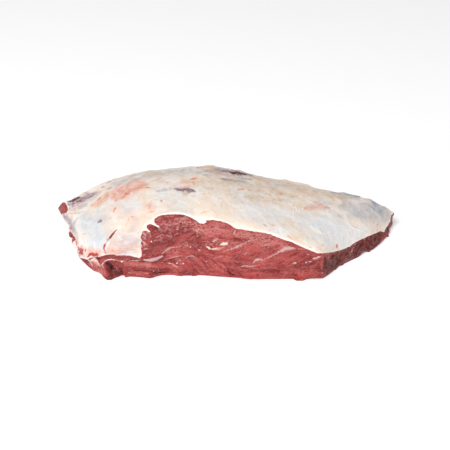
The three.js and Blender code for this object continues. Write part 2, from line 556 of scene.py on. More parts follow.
COVER_MARKS = (
    # Broad grounds: silverskin, beige and shine-through, with painted shade, painted light and
    # painted sheen among them.
    Mark("left silverskin", Tint.PEARL, ((82, 221), (92, 228), (99, 240), (92, 246)), 15, 0.95),
    Mark("left top silverskin", Tint.PEARL, ((128, 207), (134, 206)), 9, 0.7),
    Mark("crest grey ground", Tint.SLATE,
         ((106, 187), (130, 180), (160, 175), (200, 172)), 11, 0.3),
    # painted shade: grey over the left flank, which faces the key light, to darken it
    Mark("left flank", Tint.SLATE,
         ((82, 224), (98, 238), (120, 242), (136, 238), (134, 226)), 16, 0.34),
    Mark("blue shoulder", Tint.SLATE, ((84, 217), (96, 219), (106, 219)), 9, 0.42),
    Mark("left edge's grey", Tint.SLATE, ((64, 215), (71, 223), (75, 232)), 7, 0.7),
    Mark("left edge's lilac", Tint.PLUM, ((63, 214), (70, 222), (73, 230), (78, 242)), 6.5, 0.5),
    Mark("lilac by the knob", Tint.PLUM, ((69, 209), (76, 207), (86, 205)), 6, 0.5),
    Mark("grey by the lobe", Tint.PLUM, ((139, 248), (138, 238), (140, 228)), 5.5, 0.2),
    Mark("heel's lilac", Tint.PLUM, ((114, 238), (126, 238), (136, 244), (124, 250)), 11, 0.26),
    # painted light: white over the middle of the fat, where its slope turns from the key light
    Mark("middle painted light", Tint.SUET_AND_HIGHLIGHT, ((234, 206), (256, 209), (284, 212), (300, 221)), 9, 0.75),
    Mark("crest's dusk", Tint.PLUM, ((206, 171), (222, 172), (240, 175)), 5.5, 0.5),
    Mark("heel's cream", Tint.HONEY, ((118, 238), (128, 234), (136, 240), (134, 250)), 9, 0.24),
    Mark("heel's round bump", Tint.PEARL, ((128.4, 239.2), (131, 239.8)), 4.4, 0.8, 0.5, 0.15),
    Mark("crest silverskin", Tint.SLATE, ((166, 172), (182, 171.5), (200, 172.5)), 5.5, 0.55),
    Mark("left crest silverskin", Tint.SLATE, ((112, 184), (122, 182), (136, 176)), 6.5, 0.5),
    Mark("far crest grey", Tint.SLATE, ((215, 168.6), (222, 169.4), (229, 171.5)), 3.0, 0.6),
    Mark("far end silverskin", Tint.SLATE, ((345, 206), (362, 212), (384, 216)), 13, 0.55),
    # grey silverskin, deepened as painted shade on the far end's facet, which turns from the light
    Mark("far end facet", Tint.SLATE, ((374, 204), (381, 210), (388, 216)), 8, 0.95),
    Mark("right crest strip", Tint.SLATE, ((331, 192.2), (345, 194.3), (359, 197)), 3.4, 1.0),
    Mark("crest tan", Tint.HONEY, ((184, 181), (200, 184), (214, 182)), 8, 0.55),
    Mark("right front pearl", Tint.PEARL,
         ((316, 238), (334, 240), (352, 236), (368, 228)), 11, 0.75),
    Mark("middle beige", Tint.HONEY, ((210, 178), (240, 183), (265, 189), (290, 196)), 10, 0.65),
    Mark("crest beige", Tint.HONEY, ((198, 168), (212, 168.5), (228, 176)), 6.5, 0.8),
    Mark("right beige", Tint.HONEY, ((252, 177), (275, 183), (312, 193), (345, 197.5)), 8, 0.6),
    Mark("left crest beige", Tint.HONEY, ((146, 174.5), (158, 173)), 4.5, 0.6),
    Mark("yellow cushions", Tint.HONEY, ((264, 199), (275, 199.5), (286, 200)), 6, 0.5),
    Mark("ochre spot", Tint.HONEY, ((184, 195), (187, 194)), 2.6, 0.8),
    Mark("bright slope", Tint.PEARL, ((306, 220), (326, 225), (345, 228)), 14, 0.85),
    Mark("middle sheen", Tint.PEARL, ((238, 213), (262, 214), (284, 218)), 9, 0.5),
    Mark("shine-through's ground", Tint.BLUSH, ((108, 196), (122, 191), (142, 185)), 11, 0.66),
    Mark("warm slope", Tint.BLUSH, ((108, 206), (120, 211), (132, 218), (138, 226)), 10, 0.14),
    Mark("slope's shade", Tint.PLUM, ((120, 208), (134, 214), (142, 222), (132, 232)), 10, 0.1),
    Mark("shine-through", Tint.BLUSH, ((116, 191), (127, 191.6), (140, 188)), 6.5, 0.85),
    Mark("shine-through, lower", Tint.BLUSH, ((116, 200), (122, 196.5), (129, 194.5)), 4, 0.95),
    Mark("shine-through, left", Tint.BLUSH, ((92, 205.5), (100, 203), (108, 197)), 5, 0.6),
    Mark("shine-through, upper", Tint.BLUSH, ((126, 186), (133, 181), (142, 177.8)), 3.0, 0.65),
    Mark("glow on the lobe", Tint.BLUSH, ((146, 208), (152, 206)), 7, 0.22),
    Mark("glow by the middle", Tint.BLUSH, ((176, 184.5), (187, 185)), 5, 0.35),
    Mark("glow at the heel", Tint.BLUSH, ((112, 250), (124, 250), (134, 249)), 4.5, 0.4),
    # Purple and maroon patches.
    Mark("lilac flank", Tint.PLUM, ((70, 205), (78, 201.5), (88, 198), (100, 193)), 8, 0.42),
    Mark("purple flank", Tint.PLUM, ((68, 204), (77, 200.4), (87, 196.8), (97, 192.6)), 5.6, 0.85),
    Mark("purple flank's heart", Tint.PLUM,
         ((69, 205), (77, 202), (85, 199), (93, 195.6)), 4.2, 1.0),
    Mark("maroon edge", Tint.BLOOD_AND_SHADE, ((68, 201.8), (73.5, 200), (80, 197.4)), 2.8, 0.8, 0.0, 0.6),
    Mark("purple tag", Tint.PLUM, ((72.5, 206.6), (75.5, 205.4)), 1.6, 0.8),
    Mark("left edge purple", Tint.PLUM, ((63.8, 215.5), (65.8, 220.4)), 2.2, 0.8),
    Mark("lilac streak", Tint.PLUM, ((79, 217.6), (76, 220.5), (73.6, 224)), 1.8, 0.4),
    Mark("fold shadow", Tint.PLUM,
         ((64, 214.2), (71, 212.8), (78, 212.6), (84.4, 211)), 1.3, 0.4, -0.7),
    Mark("dark spot", Tint.PLUM, ((98.6, 221.6), (101.2, 220.6)), 1.7, 1.0),
    Mark("dark spot's heart", Tint.BLOOD_AND_SHADE, ((99.6, 221.3), (100.2, 221)), 0.8, 0.5),
    Mark("maroon patch", Tint.PLUM,
         ((174, 188.6), (182, 190), (190, 190.3), (195, 191.8)), 4.0, 0.6),
    Mark("maroon patch's heart", Tint.BLOOD_AND_SHADE,
         ((175, 189.2), (186, 189.8), (195, 191.4)), 3.2, 0.68, 0.0, 0.6),
    Mark("maroon patch's tail", Tint.PLUM,
         ((157, 191), (167, 189.4), (175, 188.6)), 2.6, 0.3, 0.0, 0.7),
    Mark("maroon crest patch", Tint.PLUM, ((222, 171.2), (236, 172.4), (252, 175.4)), 4.6, 0.85),
    Mark("maroon crest patch's heart", Tint.BLOOD_AND_SHADE,
         ((230, 172.4), (238, 173.2), (246, 174.4)), 3.0, 0.85, 0.0, 0.6),
    Mark("grey streak by the crest", Tint.SLATE,
         ((220, 178.6), (231, 180), (246, 182.2)), 2.4, 0.7, 0.0, 0.9),
    Mark("grey streak's heart", Tint.PLUM,
         ((222, 178.6), (228, 179.4), (237, 181)), 1.8, 0.45, 0.0, 0.9),
    Mark("second grey streak", Tint.SLATE,
         ((237, 177.6), (245, 178.9), (252, 179.6)), 2.2, 0.7, 0.0, 0.9),
    Mark("shade under the crest", Tint.SLATE, ((203, 175), (212, 175.6)), 2.6, 0.6, 0.0, 0.8),
    Mark("shade in the middle", Tint.SLATE, ((206, 187.4), (213, 188.6)), 2.4, 0.28, 0.0, 0.8),
    Mark("pale pink ground", Tint.PLUM, ((267, 184), (277, 187)), 4.0, 0.18),
    Mark("grey tick", Tint.SLATE, ((82.4, 234.5), (85.5, 233.4)), 0.8, 0.9),
    Mark("lilac by the slit", Tint.PLUM, ((107.5, 248.5), (112, 251)), 2.2, 0.22),
    # Red and orange streaks and spots.
    Mark("streak above the flank", Tint.BLUSH, ((97.5, 200.4), (101.1, 197.6)), 1.4, 1.0),
    Mark("streak on the crest", Tint.BLUSH, ((101, 187.2), (104.5, 186.6)), 1.3, 0.9),
    Mark("dark streak on the crest", Tint.PLUM, ((107, 189.2), (112, 187)), 1.4, 0.6),
    Mark("crest's dark edge", Tint.PLUM, ((107, 183), (111.4, 181)), 1.3, 0.8),
    Mark("streak", Tint.BLUSH, ((112, 195), (114.6, 193.2)), 1.4, 1.0),
    Mark("long streak", Tint.BLUSH, ((137, 188.4), (143, 187.5), (150, 187.6)), 1.3, 1.0),
    Mark("strong streak", Tint.RUBY, ((124, 194.5), (128.5, 193)), 1.2, 0.45),
    Mark("rising streak", Tint.BLUSH, ((150, 181.6), (157.5, 179.6), (162, 177.4)), 1.2, 0.42),
    Mark("level streak", Tint.BLUSH, ((164, 182.6), (172.5, 181.9)), 1.2, 0.3),
    Mark("orange patch", Tint.BLUSH, ((190.5, 179), (194, 178.6), (197.5, 178.2)), 1.7, 0.95),
    Mark("orange tail", Tint.BLUSH, ((193, 182), (194, 184.5)), 1.3, 0.5),
    Mark("crest speck", Tint.BLUSH, ((197.2, 167.6), (198, 167.2)), 1.0, 0.9),
    Mark("middle orange streak", Tint.BLUSH, ((237.6, 189.5), (244.6, 189.2)), 1.2, 0.9),
    Mark("far orange streak", Tint.BLUSH, ((279, 193.6), (283, 194)), 1.1, 0.7),
    Mark("orange spot", Tint.BLUSH, ((115.4, 207.8), (113.9, 211)), 1.5, 1.0),
    Mark("soft orange spot", Tint.BLUSH, ((109.4, 218.4), (110.8, 218)), 1.4, 0.5),
    Mark("red spot", Tint.RUBY, ((131.5, 216.6), (132.6, 217.2)), 1.1, 0.55),
    Mark("pink streak", Tint.BLUSH, ((130, 214.5), (128.4, 221), (125.4, 225.6)), 1.0, 0.5),
    Mark("orange dot", Tint.BLUSH, ((161.2, 200.5), (161.8, 201.2)), 1.2, 1.0),
    Mark("soft streak", Tint.BLUSH, ((151.4, 200), (149.8, 206.5), (148.8, 209)), 1.4, 0.45),
    Mark("border streak", Tint.BLUSH, ((147, 212.6), (151, 211.6), (155.4, 211)), 1.5, 0.5),
    Mark("wrinkle line", Tint.HONEY,
         ((165.6, 211.2), (170.2, 208.9), (177.6, 209.5)), 0.9, 0.6, -0.3),
    Mark("right border line", Tint.BLUSH,
         ((200.4, 213.4), (204, 212.2), (208.6, 211.8)), 1.0, 0.55),
    Mark("first red dot", Tint.RUBY, ((254.1, 200.5), (254.5, 201.2)), 0.9, 0.55),
    Mark("second red dot", Tint.RUBY, ((262.9, 197.3), (263.3, 197.5)), 0.8, 0.55),
    Mark("third red dot", Tint.RUBY, ((218.6, 198.4), (220, 198.2)), 0.7, 0.45),
    Mark("fourth red dot", Tint.BLUSH, ((234.6, 197.3), (235.6, 197.2)), 0.8, 0.7),
    Mark("orange tick", Tint.BLUSH, ((263.6, 224.2), (266.6, 227)), 1.0, 0.9),
    Mark("second orange tick", Tint.BLUSH, ((272.2, 225), (275, 225.4)), 0.9, 0.8),
    Mark("edge glow", Tint.BLUSH, ((288, 235.5), (292, 239)), 1.6, 0.5),
    Mark("pink seam", Tint.BLUSH,
         ((303.5, 208.4), (312, 207.6), (319, 206), (325, 207.4)), 3.4, 0.55),
    Mark("pink seam's ground", Tint.BLUSH, ((308, 207), (317, 206.4), (326, 207)), 5.2, 0.46),
    Mark("pink seam's tail", Tint.BLUSH, ((325, 207.4), (331, 208)), 1.2, 0.7),
    Mark("glint", Tint.SUET_AND_HIGHLIGHT, ((332, 207.9), (333, 208)), 1.1, 1.0, 0.4),
    Mark("bright orange spot", Tint.BLUSH, ((337, 245), (337.2, 246.6)), 1.6, 1.0),
    Mark("small orange spot", Tint.BLUSH, ((322.3, 245.4), (322.7, 245.7)), 1.0, 0.6),
    Mark("edge orange spot", Tint.BLUSH, ((310.3, 247.2), (310.8, 247.5)), 1.0, 0.6),
    Mark("far dot", Tint.BLUSH, ((365.8, 210.5), (367, 210.3)), 0.9, 0.7),
    Mark("far red dot", Tint.RUBY, ((377, 224.2), (377.5, 225)), 0.8, 0.4),
    Mark("left dot", Tint.BLUSH, ((70.4, 227.6), (70.7, 228.4)), 1.6, 1.0),
    Mark("left red patch", Tint.RUBY,
         ((78.4, 249.5), (82, 249.6), (79.5, 252.5), (83, 254.2)), 3.2, 0.95),
    Mark("left red patch's foot", Tint.RUBY, ((78, 253), (79.4, 256.8)), 2.2, 0.9),
    Mark("left red patch's tip", Tint.RUBY, ((80.1, 245.6), (81, 247.4)), 0.9, 0.6),
    Mark("left thin red line", Tint.RUBY, ((76.2, 241.4), (76.9, 246.6)), 0.9, 0.7),
    Mark("dot by the patch", Tint.RUBY, ((85.4, 249.9), (85.6, 250.8)), 0.9, 0.85),
    Mark("heel cluster", Tint.RUBY,
         ((87.2, 257), (91, 254.4), (96, 254.6), (100.4, 256.4)), 2.6, 0.95),
    Mark("heel cluster's ground", Tint.BLUSH, ((86, 255), (92, 252.6), (98, 253.4)), 3.4, 0.6),
    Mark("heel cluster's fat", Tint.SUET_AND_HIGHLIGHT, ((90.2, 256.2), (91.4, 255.9)), 0.8, 0.7),
    # Folds, slits and wrinkles; the slit and the fold line carry painted shade.
    # the slit's deep reds are partly painted shade inside it
    Mark("slit", Tint.BLOOD_AND_SHADE,
         ((115.6, 230.8), (112, 235), (109.8, 238.1), (106.2, 243.4)), 1.1, 0.72, -1.0, 0.15),
    Mark("slit's colour", Tint.RUBY,
         ((116.6, 229.6), (112, 235), (108, 240.6), (104.4, 247)), 1.5, 1.0, 0.0, 0.15),
    Mark("slit's tail", Tint.RUBY,
         ((108.6, 240), (104.6, 245.6), (104.1, 248.8), (106.4, 253.8)), 1.3, 0.95, -0.8, 0.15),
    Mark("slit's middle", Tint.BLOOD_AND_SHADE,
         ((111, 236.6), (108.4, 240), (106, 243.8)), 1.2, 0.85, 0.0, 0.15),
    Mark("slit's end", Tint.RUBY, ((105.6, 252.2), (106.6, 253.2)), 1.2, 0.9),
    Mark("slit's start", Tint.PLUM, ((118, 228.6), (114.9, 231.6)), 0.7, 0.4, -0.5, 0.2),
    # painted shade: a beige brown line along the fold
    Mark("fold line", Tint.HONEY, ((263.8, 192.6), (268, 193.6), (272.4, 195.2)), 0.9, 1.0, -0.6),
    Mark("white seam", Tint.SUET_AND_HIGHLIGHT, ((271.3, 198), (271.4, 203)), 1.0, 0.5, 0.3),
    Mark("far ridge", Tint.HONEY, ((361, 199.8), (370.7, 200.4), (374, 207.4)), 1.9, 0.6, 0.9),
    Mark("ridge's light", Tint.SUET_AND_HIGHLIGHT, ((351.8, 227), (359, 229.6), (366, 231.9)), 1.1, 0.4, 0.4),
    Mark("broad sheen", Tint.PEARL, ((312, 225.4), (317, 228.8), (322, 232)), 2.4, 0.5, 0.4),
    Mark("first wrinkle", Tint.SUET_AND_HIGHLIGHT, ((286.5, 216.4), (291, 213.2)), 1.0, 0.95, 0.5),
    Mark("second wrinkle", Tint.SUET_AND_HIGHLIGHT, ((293.4, 213.4), (294.4, 209.4)), 0.9, 0.95, 0.5),
    Mark("third wrinkle", Tint.SUET_AND_HIGHLIGHT, ((296.2, 212.6), (297, 208.6)), 0.9, 0.95, 0.5),
    Mark("fourth wrinkle", Tint.SUET_AND_HIGHLIGHT, ((299, 211.4), (299.8, 208)), 0.9, 0.95, 0.5),
    Mark("fifth wrinkle", Tint.SUET_AND_HIGHLIGHT, ((302, 210), (303.4, 207.6)), 0.9, 0.95, 0.5),
    # Smaller grounds and spots.
    Mark("warm heel", Tint.BLUSH, ((112, 246), (124, 247), (136, 248)), 8, 0.18),
    Mark("warm heel's foot", Tint.BLUSH, ((104, 252), (112, 252), (122, 251.6)), 4.5, 0.72),
    Mark("warm low left", Tint.BLUSH, ((82, 247), (86, 252), (94, 253), (102, 251)), 7.0, 0.62),
    Mark("warm left edge", Tint.BLUSH, ((74, 236), (77, 243), (79, 249)), 3.4, 0.45),
    Mark("left red patch's ground", Tint.RUBY, ((78, 247), (80.6, 252), (84, 256)), 3.2, 0.6),
    Mark("grey shoulder", Tint.SLATE, ((90, 213), (98, 211.6), (106, 211)), 5, 0.3),
    Mark("pearl under the heel", Tint.PEARL, ((119, 253.4), (126, 254), (134, 255.8)), 2.4, 0.9),
    Mark("tan crest", Tint.HONEY, ((153, 173), (159, 173.6), (165, 173)), 3.2, 0.5),
    Mark("crest's orange line", Tint.BLUSH, ((198, 167.4), (206, 166.6), (215, 167.2)), 1.3, 0.5),
    Mark("tan spot", Tint.HONEY, ((201.6, 181.6), (204.6, 182)), 2.2, 0.7),
    Mark("middle orange spot", Tint.BLUSH, ((248.8, 190), (250.6, 190.2)), 1.2, 0.6),
    Mark("first ochre cushion", Tint.HONEY, ((216, 184), (222, 184.4), (228, 185)), 4.2, 0.6),
    Mark("second ochre cushion", Tint.HONEY, ((236, 185), (248, 185.4), (259, 186.4)), 4.2, 0.6),
    Mark("third ochre cushion", Tint.HONEY, ((245, 197), (257, 197.6), (268, 198)), 4.4, 0.6),
    Mark("fourth ochre cushion", Tint.HONEY, ((275, 199.4), (281, 199.6), (288, 199.4)), 4.4, 0.65),
    Mark("orange brown patch", Tint.HONEY, ((285, 195), (291, 195.6), (298, 196)), 3.4, 0.8),
    Mark("ochre band", Tint.HONEY, ((300, 189), (320, 193.4), (340, 197), (358, 199)), 3.6, 0.8),
    Mark("far cushions", Tint.HONEY, ((365, 201.6), (369, 203.4), (373, 206)), 3.4, 0.45),
    Mark("far grey", Tint.SLATE, ((352, 213), (366, 215), (384, 217)), 11, 0.55),
    # grey silverskin, deepened as painted shade where the far end turns from the light
    Mark("far dark grey", Tint.SLATE, ((372, 206), (377, 208.6), (384, 212.6)), 6, 0.95),
    Mark("grey above the seam", Tint.SLATE, ((315, 202), (323, 202.8), (331, 204)), 4.4, 0.32),
    Mark("grey line", Tint.SLATE, ((337.4, 214.4), (340.6, 216.6), (343.7, 219.6)), 1.4, 0.5),
    Mark("lilac middle", Tint.PLUM, ((270, 208), (276, 208.6), (282, 209)), 4.0, 0.1),
    Mark("lilac spot", Tint.PLUM, ((133.2, 257), (134.6, 257.6)), 1.4, 0.4),
    Mark("upright orange", Tint.BLUSH, ((221.4, 203.4), (221.4, 207)), 1.0, 0.4),
    Mark("low left orange", Tint.BLUSH, ((193, 196), (194.6, 196.4)), 1.4, 0.4),
    Mark("low middle orange", Tint.BLUSH, ((203.4, 194.2), (204.8, 194.6)), 1.4, 0.35),
    Mark("pink spot by the crest", Tint.BLUSH, ((287.6, 183.4), (289.6, 183.8)), 1.4, 0.5),
    Mark("cushion's dot", Tint.BLUSH, ((274, 199.4), (274.8, 199.6)), 0.9, 0.6),
    Mark("right dot", Tint.BLUSH, ((293, 205.2), (294, 205.4)), 0.9, 0.6),
    Mark("far pink dot", Tint.BLUSH, ((349.4, 203), (351, 203.6)), 1.3, 0.6),
    Mark("slope's red dot", Tint.RUBY, ((330.3, 233.6), (330.8, 233.8)), 0.7, 0.5),
)

LEAN_MARKS = (
    # Broad grounds, and the way that the fibres run; the right end's and the lobe's darker grounds
    # are painted shade.
    Mark("lobe's fibres", Tint.RISE, ((146, 250), (166, 238), (190, 232), (214, 236)), 17, 1.0),
    Mark("right fibres", Tint.RISE, ((236, 252), (262, 246), (290, 256), (316, 262)), 16, 1.0),
    Mark("end's fibres", Tint.RISE, ((330, 266), (350, 252), (374, 240), (388, 226)), 14, 1.0),
    Mark("combed fibres", Tint.FALL, ((182, 264), (198, 264), (216, 266), (226, 270)), 11, 1.0),
    # painted shade: the right end faces away from the key light and is painted a darker, browner
    # red
    Mark("brown end", Tint.SHADED_BROWN_END, ((328, 268), (344, 256), (366, 244), (388, 226)), 14, 1.0),
    Mark("brown end's corner", Tint.SHADED_BROWN_END, ((325, 258), (326, 268), (328, 276)), 4, 0.9),
    # the lobe's darker reds are partly a darker muscle and partly painted shade
    Mark("lobe's dark heart", Tint.DUSK,
         ((146, 253), (156, 245), (170, 240), (182, 235)), 7.5, 0.8),
    Mark("lobe's dark crown", Tint.DUSK, ((163, 219), (171, 224)), 4.5, 0.5),
    Mark("lobe's dark right", Tint.DUSK, ((181, 231), (192, 229)), 4.5, 0.7),
    Mark("right dark ground", Tint.DUSK, ((236, 239), (246, 236), (270, 247)), 6.0, 0.4),
    Mark("right low dark ground", Tint.DUSK, ((300, 270), (312, 264), (320, 268)), 6.5, 0.55),
    Mark("net on the lobe", Tint.LACE, ((148, 234), (164, 228), (186, 222), (200, 232)), 13, 1.0),
    Mark("net under the lobe", Tint.LACE, ((160, 252), (178, 249), (196, 246)), 5, 0.7),
    Mark("pale band", Tint.PALE, ((198, 230), (214, 229), (228, 231)), 8.5, 0.8),
    Mark("pale band, right", Tint.PALE,
         ((236, 235), (256, 237), (272, 241), (286, 247)), 7.5, 0.95),
    Mark("pale middle", Tint.PALE, ((204, 242), (218, 242), (236, 244)), 7.5, 0.6),
    # partly painted shade on the lobe, like the lobe's dark marks
    Mark("lobe's ground", Tint.DUSK, ((150, 236), (166, 230), (184, 228), (196, 238)), 15, 0.56),
    Mark("pale crown", Tint.PALE, ((176, 219), (190, 222), (196, 225)), 4.0, 0.6),
    Mark("left fringe", Tint.PALE, ((144.5, 233), (144, 240), (145, 246)), 2.2, 0.6),
    Mark("bright low band", Tint.RUBY, ((205, 272), (240, 274), (280, 275), (300, 275)), 3.5, 0.3),
    Mark("bright flecks' ground", Tint.RUBY, ((196, 250), (214, 253), (228, 251)), 4.5, 0.3),
    # Seams of connective tissue, and painted shade in the creases beside them.
    Mark("crescent", Tint.FASCIA_AND_HIGHLIGHT,
         ((144, 259.9), (150, 260.2), (156, 259), (162.4, 256.2)), 2.1, 1.0, 0.5, 0.15),
    Mark("crescent's crease", Tint.DUSK,
         ((143, 261.6), (153, 263), (160, 261), (166, 257)), 1.2, 0.5, -0.8),
    Mark("crescent's thread", Tint.FASCIA_AND_HIGHLIGHT,
         ((162.8, 260.7), (169.4, 258.2), (177.6, 256.1), (182.7, 255.1)), 0.8, 0.6),
    Mark("thread's crease", Tint.DUSK, ((162.2, 262), (171.4, 259.6), (181, 257)), 1.0, 0.6, -0.7),
    Mark("long seam", Tint.FASCIA_AND_HIGHLIGHT,
         ((230.6, 249.6), (235.7, 247.3), (240.8, 244.8), (250, 240)), 1.0, 0.7, -0.3, 0.8),
    Mark("long seam's ground", Tint.PALE, ((232, 249.6), (241, 245), (251, 240)), 2.0, 0.7),
    Mark("long seam's fork", Tint.FASCIA_AND_HIGHLIGHT, ((230.2, 247.6), (231.6, 249.8)), 1.0, 0.6),
    Mark("right seam", Tint.FASCIA_AND_HIGHLIGHT,
         ((253.4, 262.8), (255.1, 260.6), (258.2, 259.4), (262.8, 259.9)), 1.2, 0.9, -0.3, 0.6),
    Mark("right seam, middle", Tint.FASCIA_AND_HIGHLIGHT,
         ((262.8, 259.9), (271.4, 256), (280, 251.8)), 0.9, 0.6, -0.3, 0.8),
    Mark("right seam, top", Tint.FASCIA_AND_HIGHLIGHT,
         ((278, 252.4), (284.7, 248.8), (289.2, 247.8), (294, 248.2)), 2.0, 0.9, 0.0, 0.6),
    Mark("right seam's ground", Tint.PALE,
         ((262, 261), (272, 256.6), (284, 250.6), (296, 249)), 2.2, 0.6),
    Mark("violet ground", Tint.DUSK, ((238, 236), (252, 240), (268, 244)), 5, 0.35),
    Mark("right seam, end", Tint.SALMON, ((294, 248.4), (304, 249.2)), 1.0, 0.5),
    Mark("low seam", Tint.FASCIA_AND_HIGHLIGHT,
         ((236.7, 267.6), (244.9, 265.7), (251, 266.3), (259, 265.1)), 0.8, 0.7, -0.4),
    Mark("corner seam", Tint.SUET_AND_HIGHLIGHT, ((313, 258.7), (316.6, 257.9), (320.6, 256.4)), 1.2, 0.75),
    Mark("corner seam, top", Tint.FASCIA_AND_HIGHLIGHT, ((305.7, 254.6), (309, 254.4)), 0.8, 0.6),
    Mark("cleft", Tint.FASCIA_AND_HIGHLIGHT, ((235.4, 229.4), (234.4, 232), (233.4, 235)), 1.2, 0.7, -0.5),
    Mark("lobe's right seam", Tint.FASCIA_AND_HIGHLIGHT,
         ((194.6, 220.6), (196.2, 224.4), (194.8, 229)), 1.4, 0.55),
    Mark("lobe's right seam, foot", Tint.SALMON, ((193, 229.5), (197, 230.4)), 1.2, 0.45),
    Mark("lobe's foot seam", Tint.FASCIA_AND_HIGHLIGHT,
         ((161.6, 254), (165.7, 250.9), (169.8, 247.6), (177.4, 247.3)), 1.3, 0.6),
    Mark("lobe's left seam", Tint.FASCIA_AND_HIGHLIGHT, ((142, 250.2), (147.5, 248.4)), 0.8, 0.6),
    Mark("lobe's fringe seam", Tint.FASCIA_AND_HIGHLIGHT,
         ((141.8, 240.6), (144.8, 243.6), (147.8, 245.2)), 1.2, 0.75),
    Mark("lobe's arc", Tint.FASCIA_AND_HIGHLIGHT,
         ((155.5, 238.2), (161.6, 234.5), (170.8, 236.2), (172.3, 237.8)), 0.8, 0.5),
    Mark("lobe's branch", Tint.FASCIA_AND_HIGHLIGHT,
         ((165.7, 226.9), (168.8, 229.5), (172.3, 230.5), (174.9, 235)), 0.9, 0.5),
    Mark("lobe's top thread", Tint.FASCIA_AND_HIGHLIGHT, ((172.9, 223.9), (176, 223.6), (180, 223.4)), 0.7, 0.5),
    Mark("lobe's bright thread", Tint.FASCIA_AND_HIGHLIGHT,
         ((181, 226.5), (183.6, 226), (186.8, 226.4)), 0.8, 0.5),
    Mark("swirl", Tint.FASCIA_AND_HIGHLIGHT, ((183.6, 240.7), (187.1, 242.8), (187.6, 245.6)), 1.2, 0.45),
    Mark("middle thread", Tint.FASCIA_AND_HIGHLIGHT,
         ((185.7, 257.7), (188.8, 256.1), (192.3, 255.6), (196.4, 257.9)), 1.0, 0.65),
    Mark("right middle thread", Tint.FASCIA_AND_HIGHLIGHT,
         ((211.2, 258.3), (216.3, 257.9), (223.5, 255.9)), 0.7, 0.5),
    Mark("right faint thread", Tint.FASCIA_AND_HIGHLIGHT, ((264.3, 245.8), (271.4, 243.8)), 1.1, 0.5),
    # White and orange flecks, and painted glints.
    Mark("round fleck", Tint.SUET_AND_HIGHLIGHT,
         ((221.6, 244.2), (224.6, 243.6), (227.2, 243.5)), 1.8, 1.0, 0.3, 0.3),
    Mark("round fleck's halo", Tint.SALMON, ((217, 245), (222, 245), (227.4, 244.4)), 2.0, 0.55),
    Mark("curved fleck", Tint.SUET_AND_HIGHLIGHT,
         ((206.6, 246.2), (208.6, 247.9), (211, 248.8)), 1.4, 0.85, 0.2, 0.4),
    Mark("curved fleck, middle", Tint.SUET_AND_HIGHLIGHT, ((211, 249), (214.6, 248.7), (217, 248.4)), 1.1, 0.65),
    Mark("curved fleck, right", Tint.SALMON, ((212, 249.6), (218, 249), (223.5, 247.3)), 2.0, 0.75),
    Mark("curved fleck's halo", Tint.RUBY,
         ((205.4, 247), (208, 250), (216, 250.6), (222, 250)), 2.0, 0.5),
    Mark("small fleck", Tint.FASCIA_AND_HIGHLIGHT, ((213.2, 241.7), (215.4, 240)), 1.2, 0.7),
    Mark("small fleck's tail", Tint.FASCIA_AND_HIGHLIGHT, ((215.4, 240), (218.9, 237.6)), 0.9, 0.6),
    Mark("salmon patch", Tint.SALMON, ((224, 251.2), (228.4, 249.4)), 2.2, 0.45),
    Mark("orange streak", Tint.SALMON,
         ((167.6, 262.7), (172.4, 264.3), (176, 266.3), (180.1, 268.8)), 1.4, 0.7),
    Mark("orange streak's start", Tint.SUET_AND_HIGHLIGHT, ((167.2, 262.6), (170.6, 263.7)), 1.0, 0.5),
    Mark("streak's end", Tint.FASCIA_AND_HIGHLIGHT, ((181.1, 268.4), (185.7, 270.6), (188.8, 273.6)), 0.8, 0.4),
    Mark("low fleck", Tint.SUET_AND_HIGHLIGHT, ((293, 263.3), (296.2, 262.8)), 1.0, 0.7),
    Mark("second low fleck", Tint.SUET_AND_HIGHLIGHT, ((308.4, 261.7), (311.5, 261.2)), 0.8, 0.6),
    Mark("dot by it", Tint.SUET_AND_HIGHLIGHT, ((306.2, 262.2), (306.5, 262.6)), 0.9, 0.75),
    Mark("upright fleck", Tint.FASCIA_AND_HIGHLIGHT, ((244.6, 254.9), (246.9, 252.6)), 0.8, 0.6),
    Mark("side orange", Tint.SALMON, ((195.8, 219.9), (199.9, 222.8)), 1.2, 0.7),
    Mark("bright red line", Tint.RUBY, ((196.6, 247), (201.4, 243.2)), 0.9, 0.8, 0.3),
    Mark("second bright red line", Tint.RUBY, ((205.9, 241.8), (207.6, 243.8)), 0.8, 0.7),
    Mark("first glint", Tint.SUET_AND_HIGHLIGHT, ((151.2, 241.3), (151.5, 241.7)), 0.75, 1.0),
    Mark("second glint", Tint.SUET_AND_HIGHLIGHT, ((190.2, 247.3), (190.7, 247.3)), 0.75, 0.8),
    Mark("third glint", Tint.SUET_AND_HIGHLIGHT, ((176.6, 263.3), (177, 263.3)), 0.75, 0.9),
    Mark("fourth glint", Tint.SUET_AND_HIGHLIGHT, ((183.2, 263.4), (183.6, 263.4)), 0.75, 0.9),
    Mark("fifth glint", Tint.SUET_AND_HIGHLIGHT, ((206.2, 261.5), (206.6, 261.5)), 0.7, 0.7),
    Mark("sixth glint", Tint.SUET_AND_HIGHLIGHT, ((153.4, 271.1), (153.6, 271.5)), 0.65, 0.7),
    Mark("pale spot", Tint.FASCIA_AND_HIGHLIGHT, ((198.8, 249.8), (199.4, 250.2)), 1.2, 0.6),
    Mark("pale spots", Tint.FASCIA_AND_HIGHLIGHT, ((178.6, 260.2), (180, 260.2)), 1.3, 0.5),
    # The heel: a strip of muscle under the fat, the pocket and the wedge left of it.
    Mark("strip under the fat", Tint.DUSK,
         ((96, 258.6), (104, 257), (114, 256.6), (128, 257.4), (138, 259.4)), 2.4, 0.75, -1.1),
    Mark("strip's dark start", Tint.BLOOD_AND_SHADE, ((94.6, 258.4), (99, 258.4)), 1.4, 0.6, -0.8),
    Mark("white thread", Tint.SUET_AND_HIGHLIGHT,
         ((103.4, 262.2), (107, 260), (111.3, 259.2), (117.2, 260.4)), 0.8, 0.9, 0.7, 0.15),
    # painted highlight: a white dot at the thread's right end
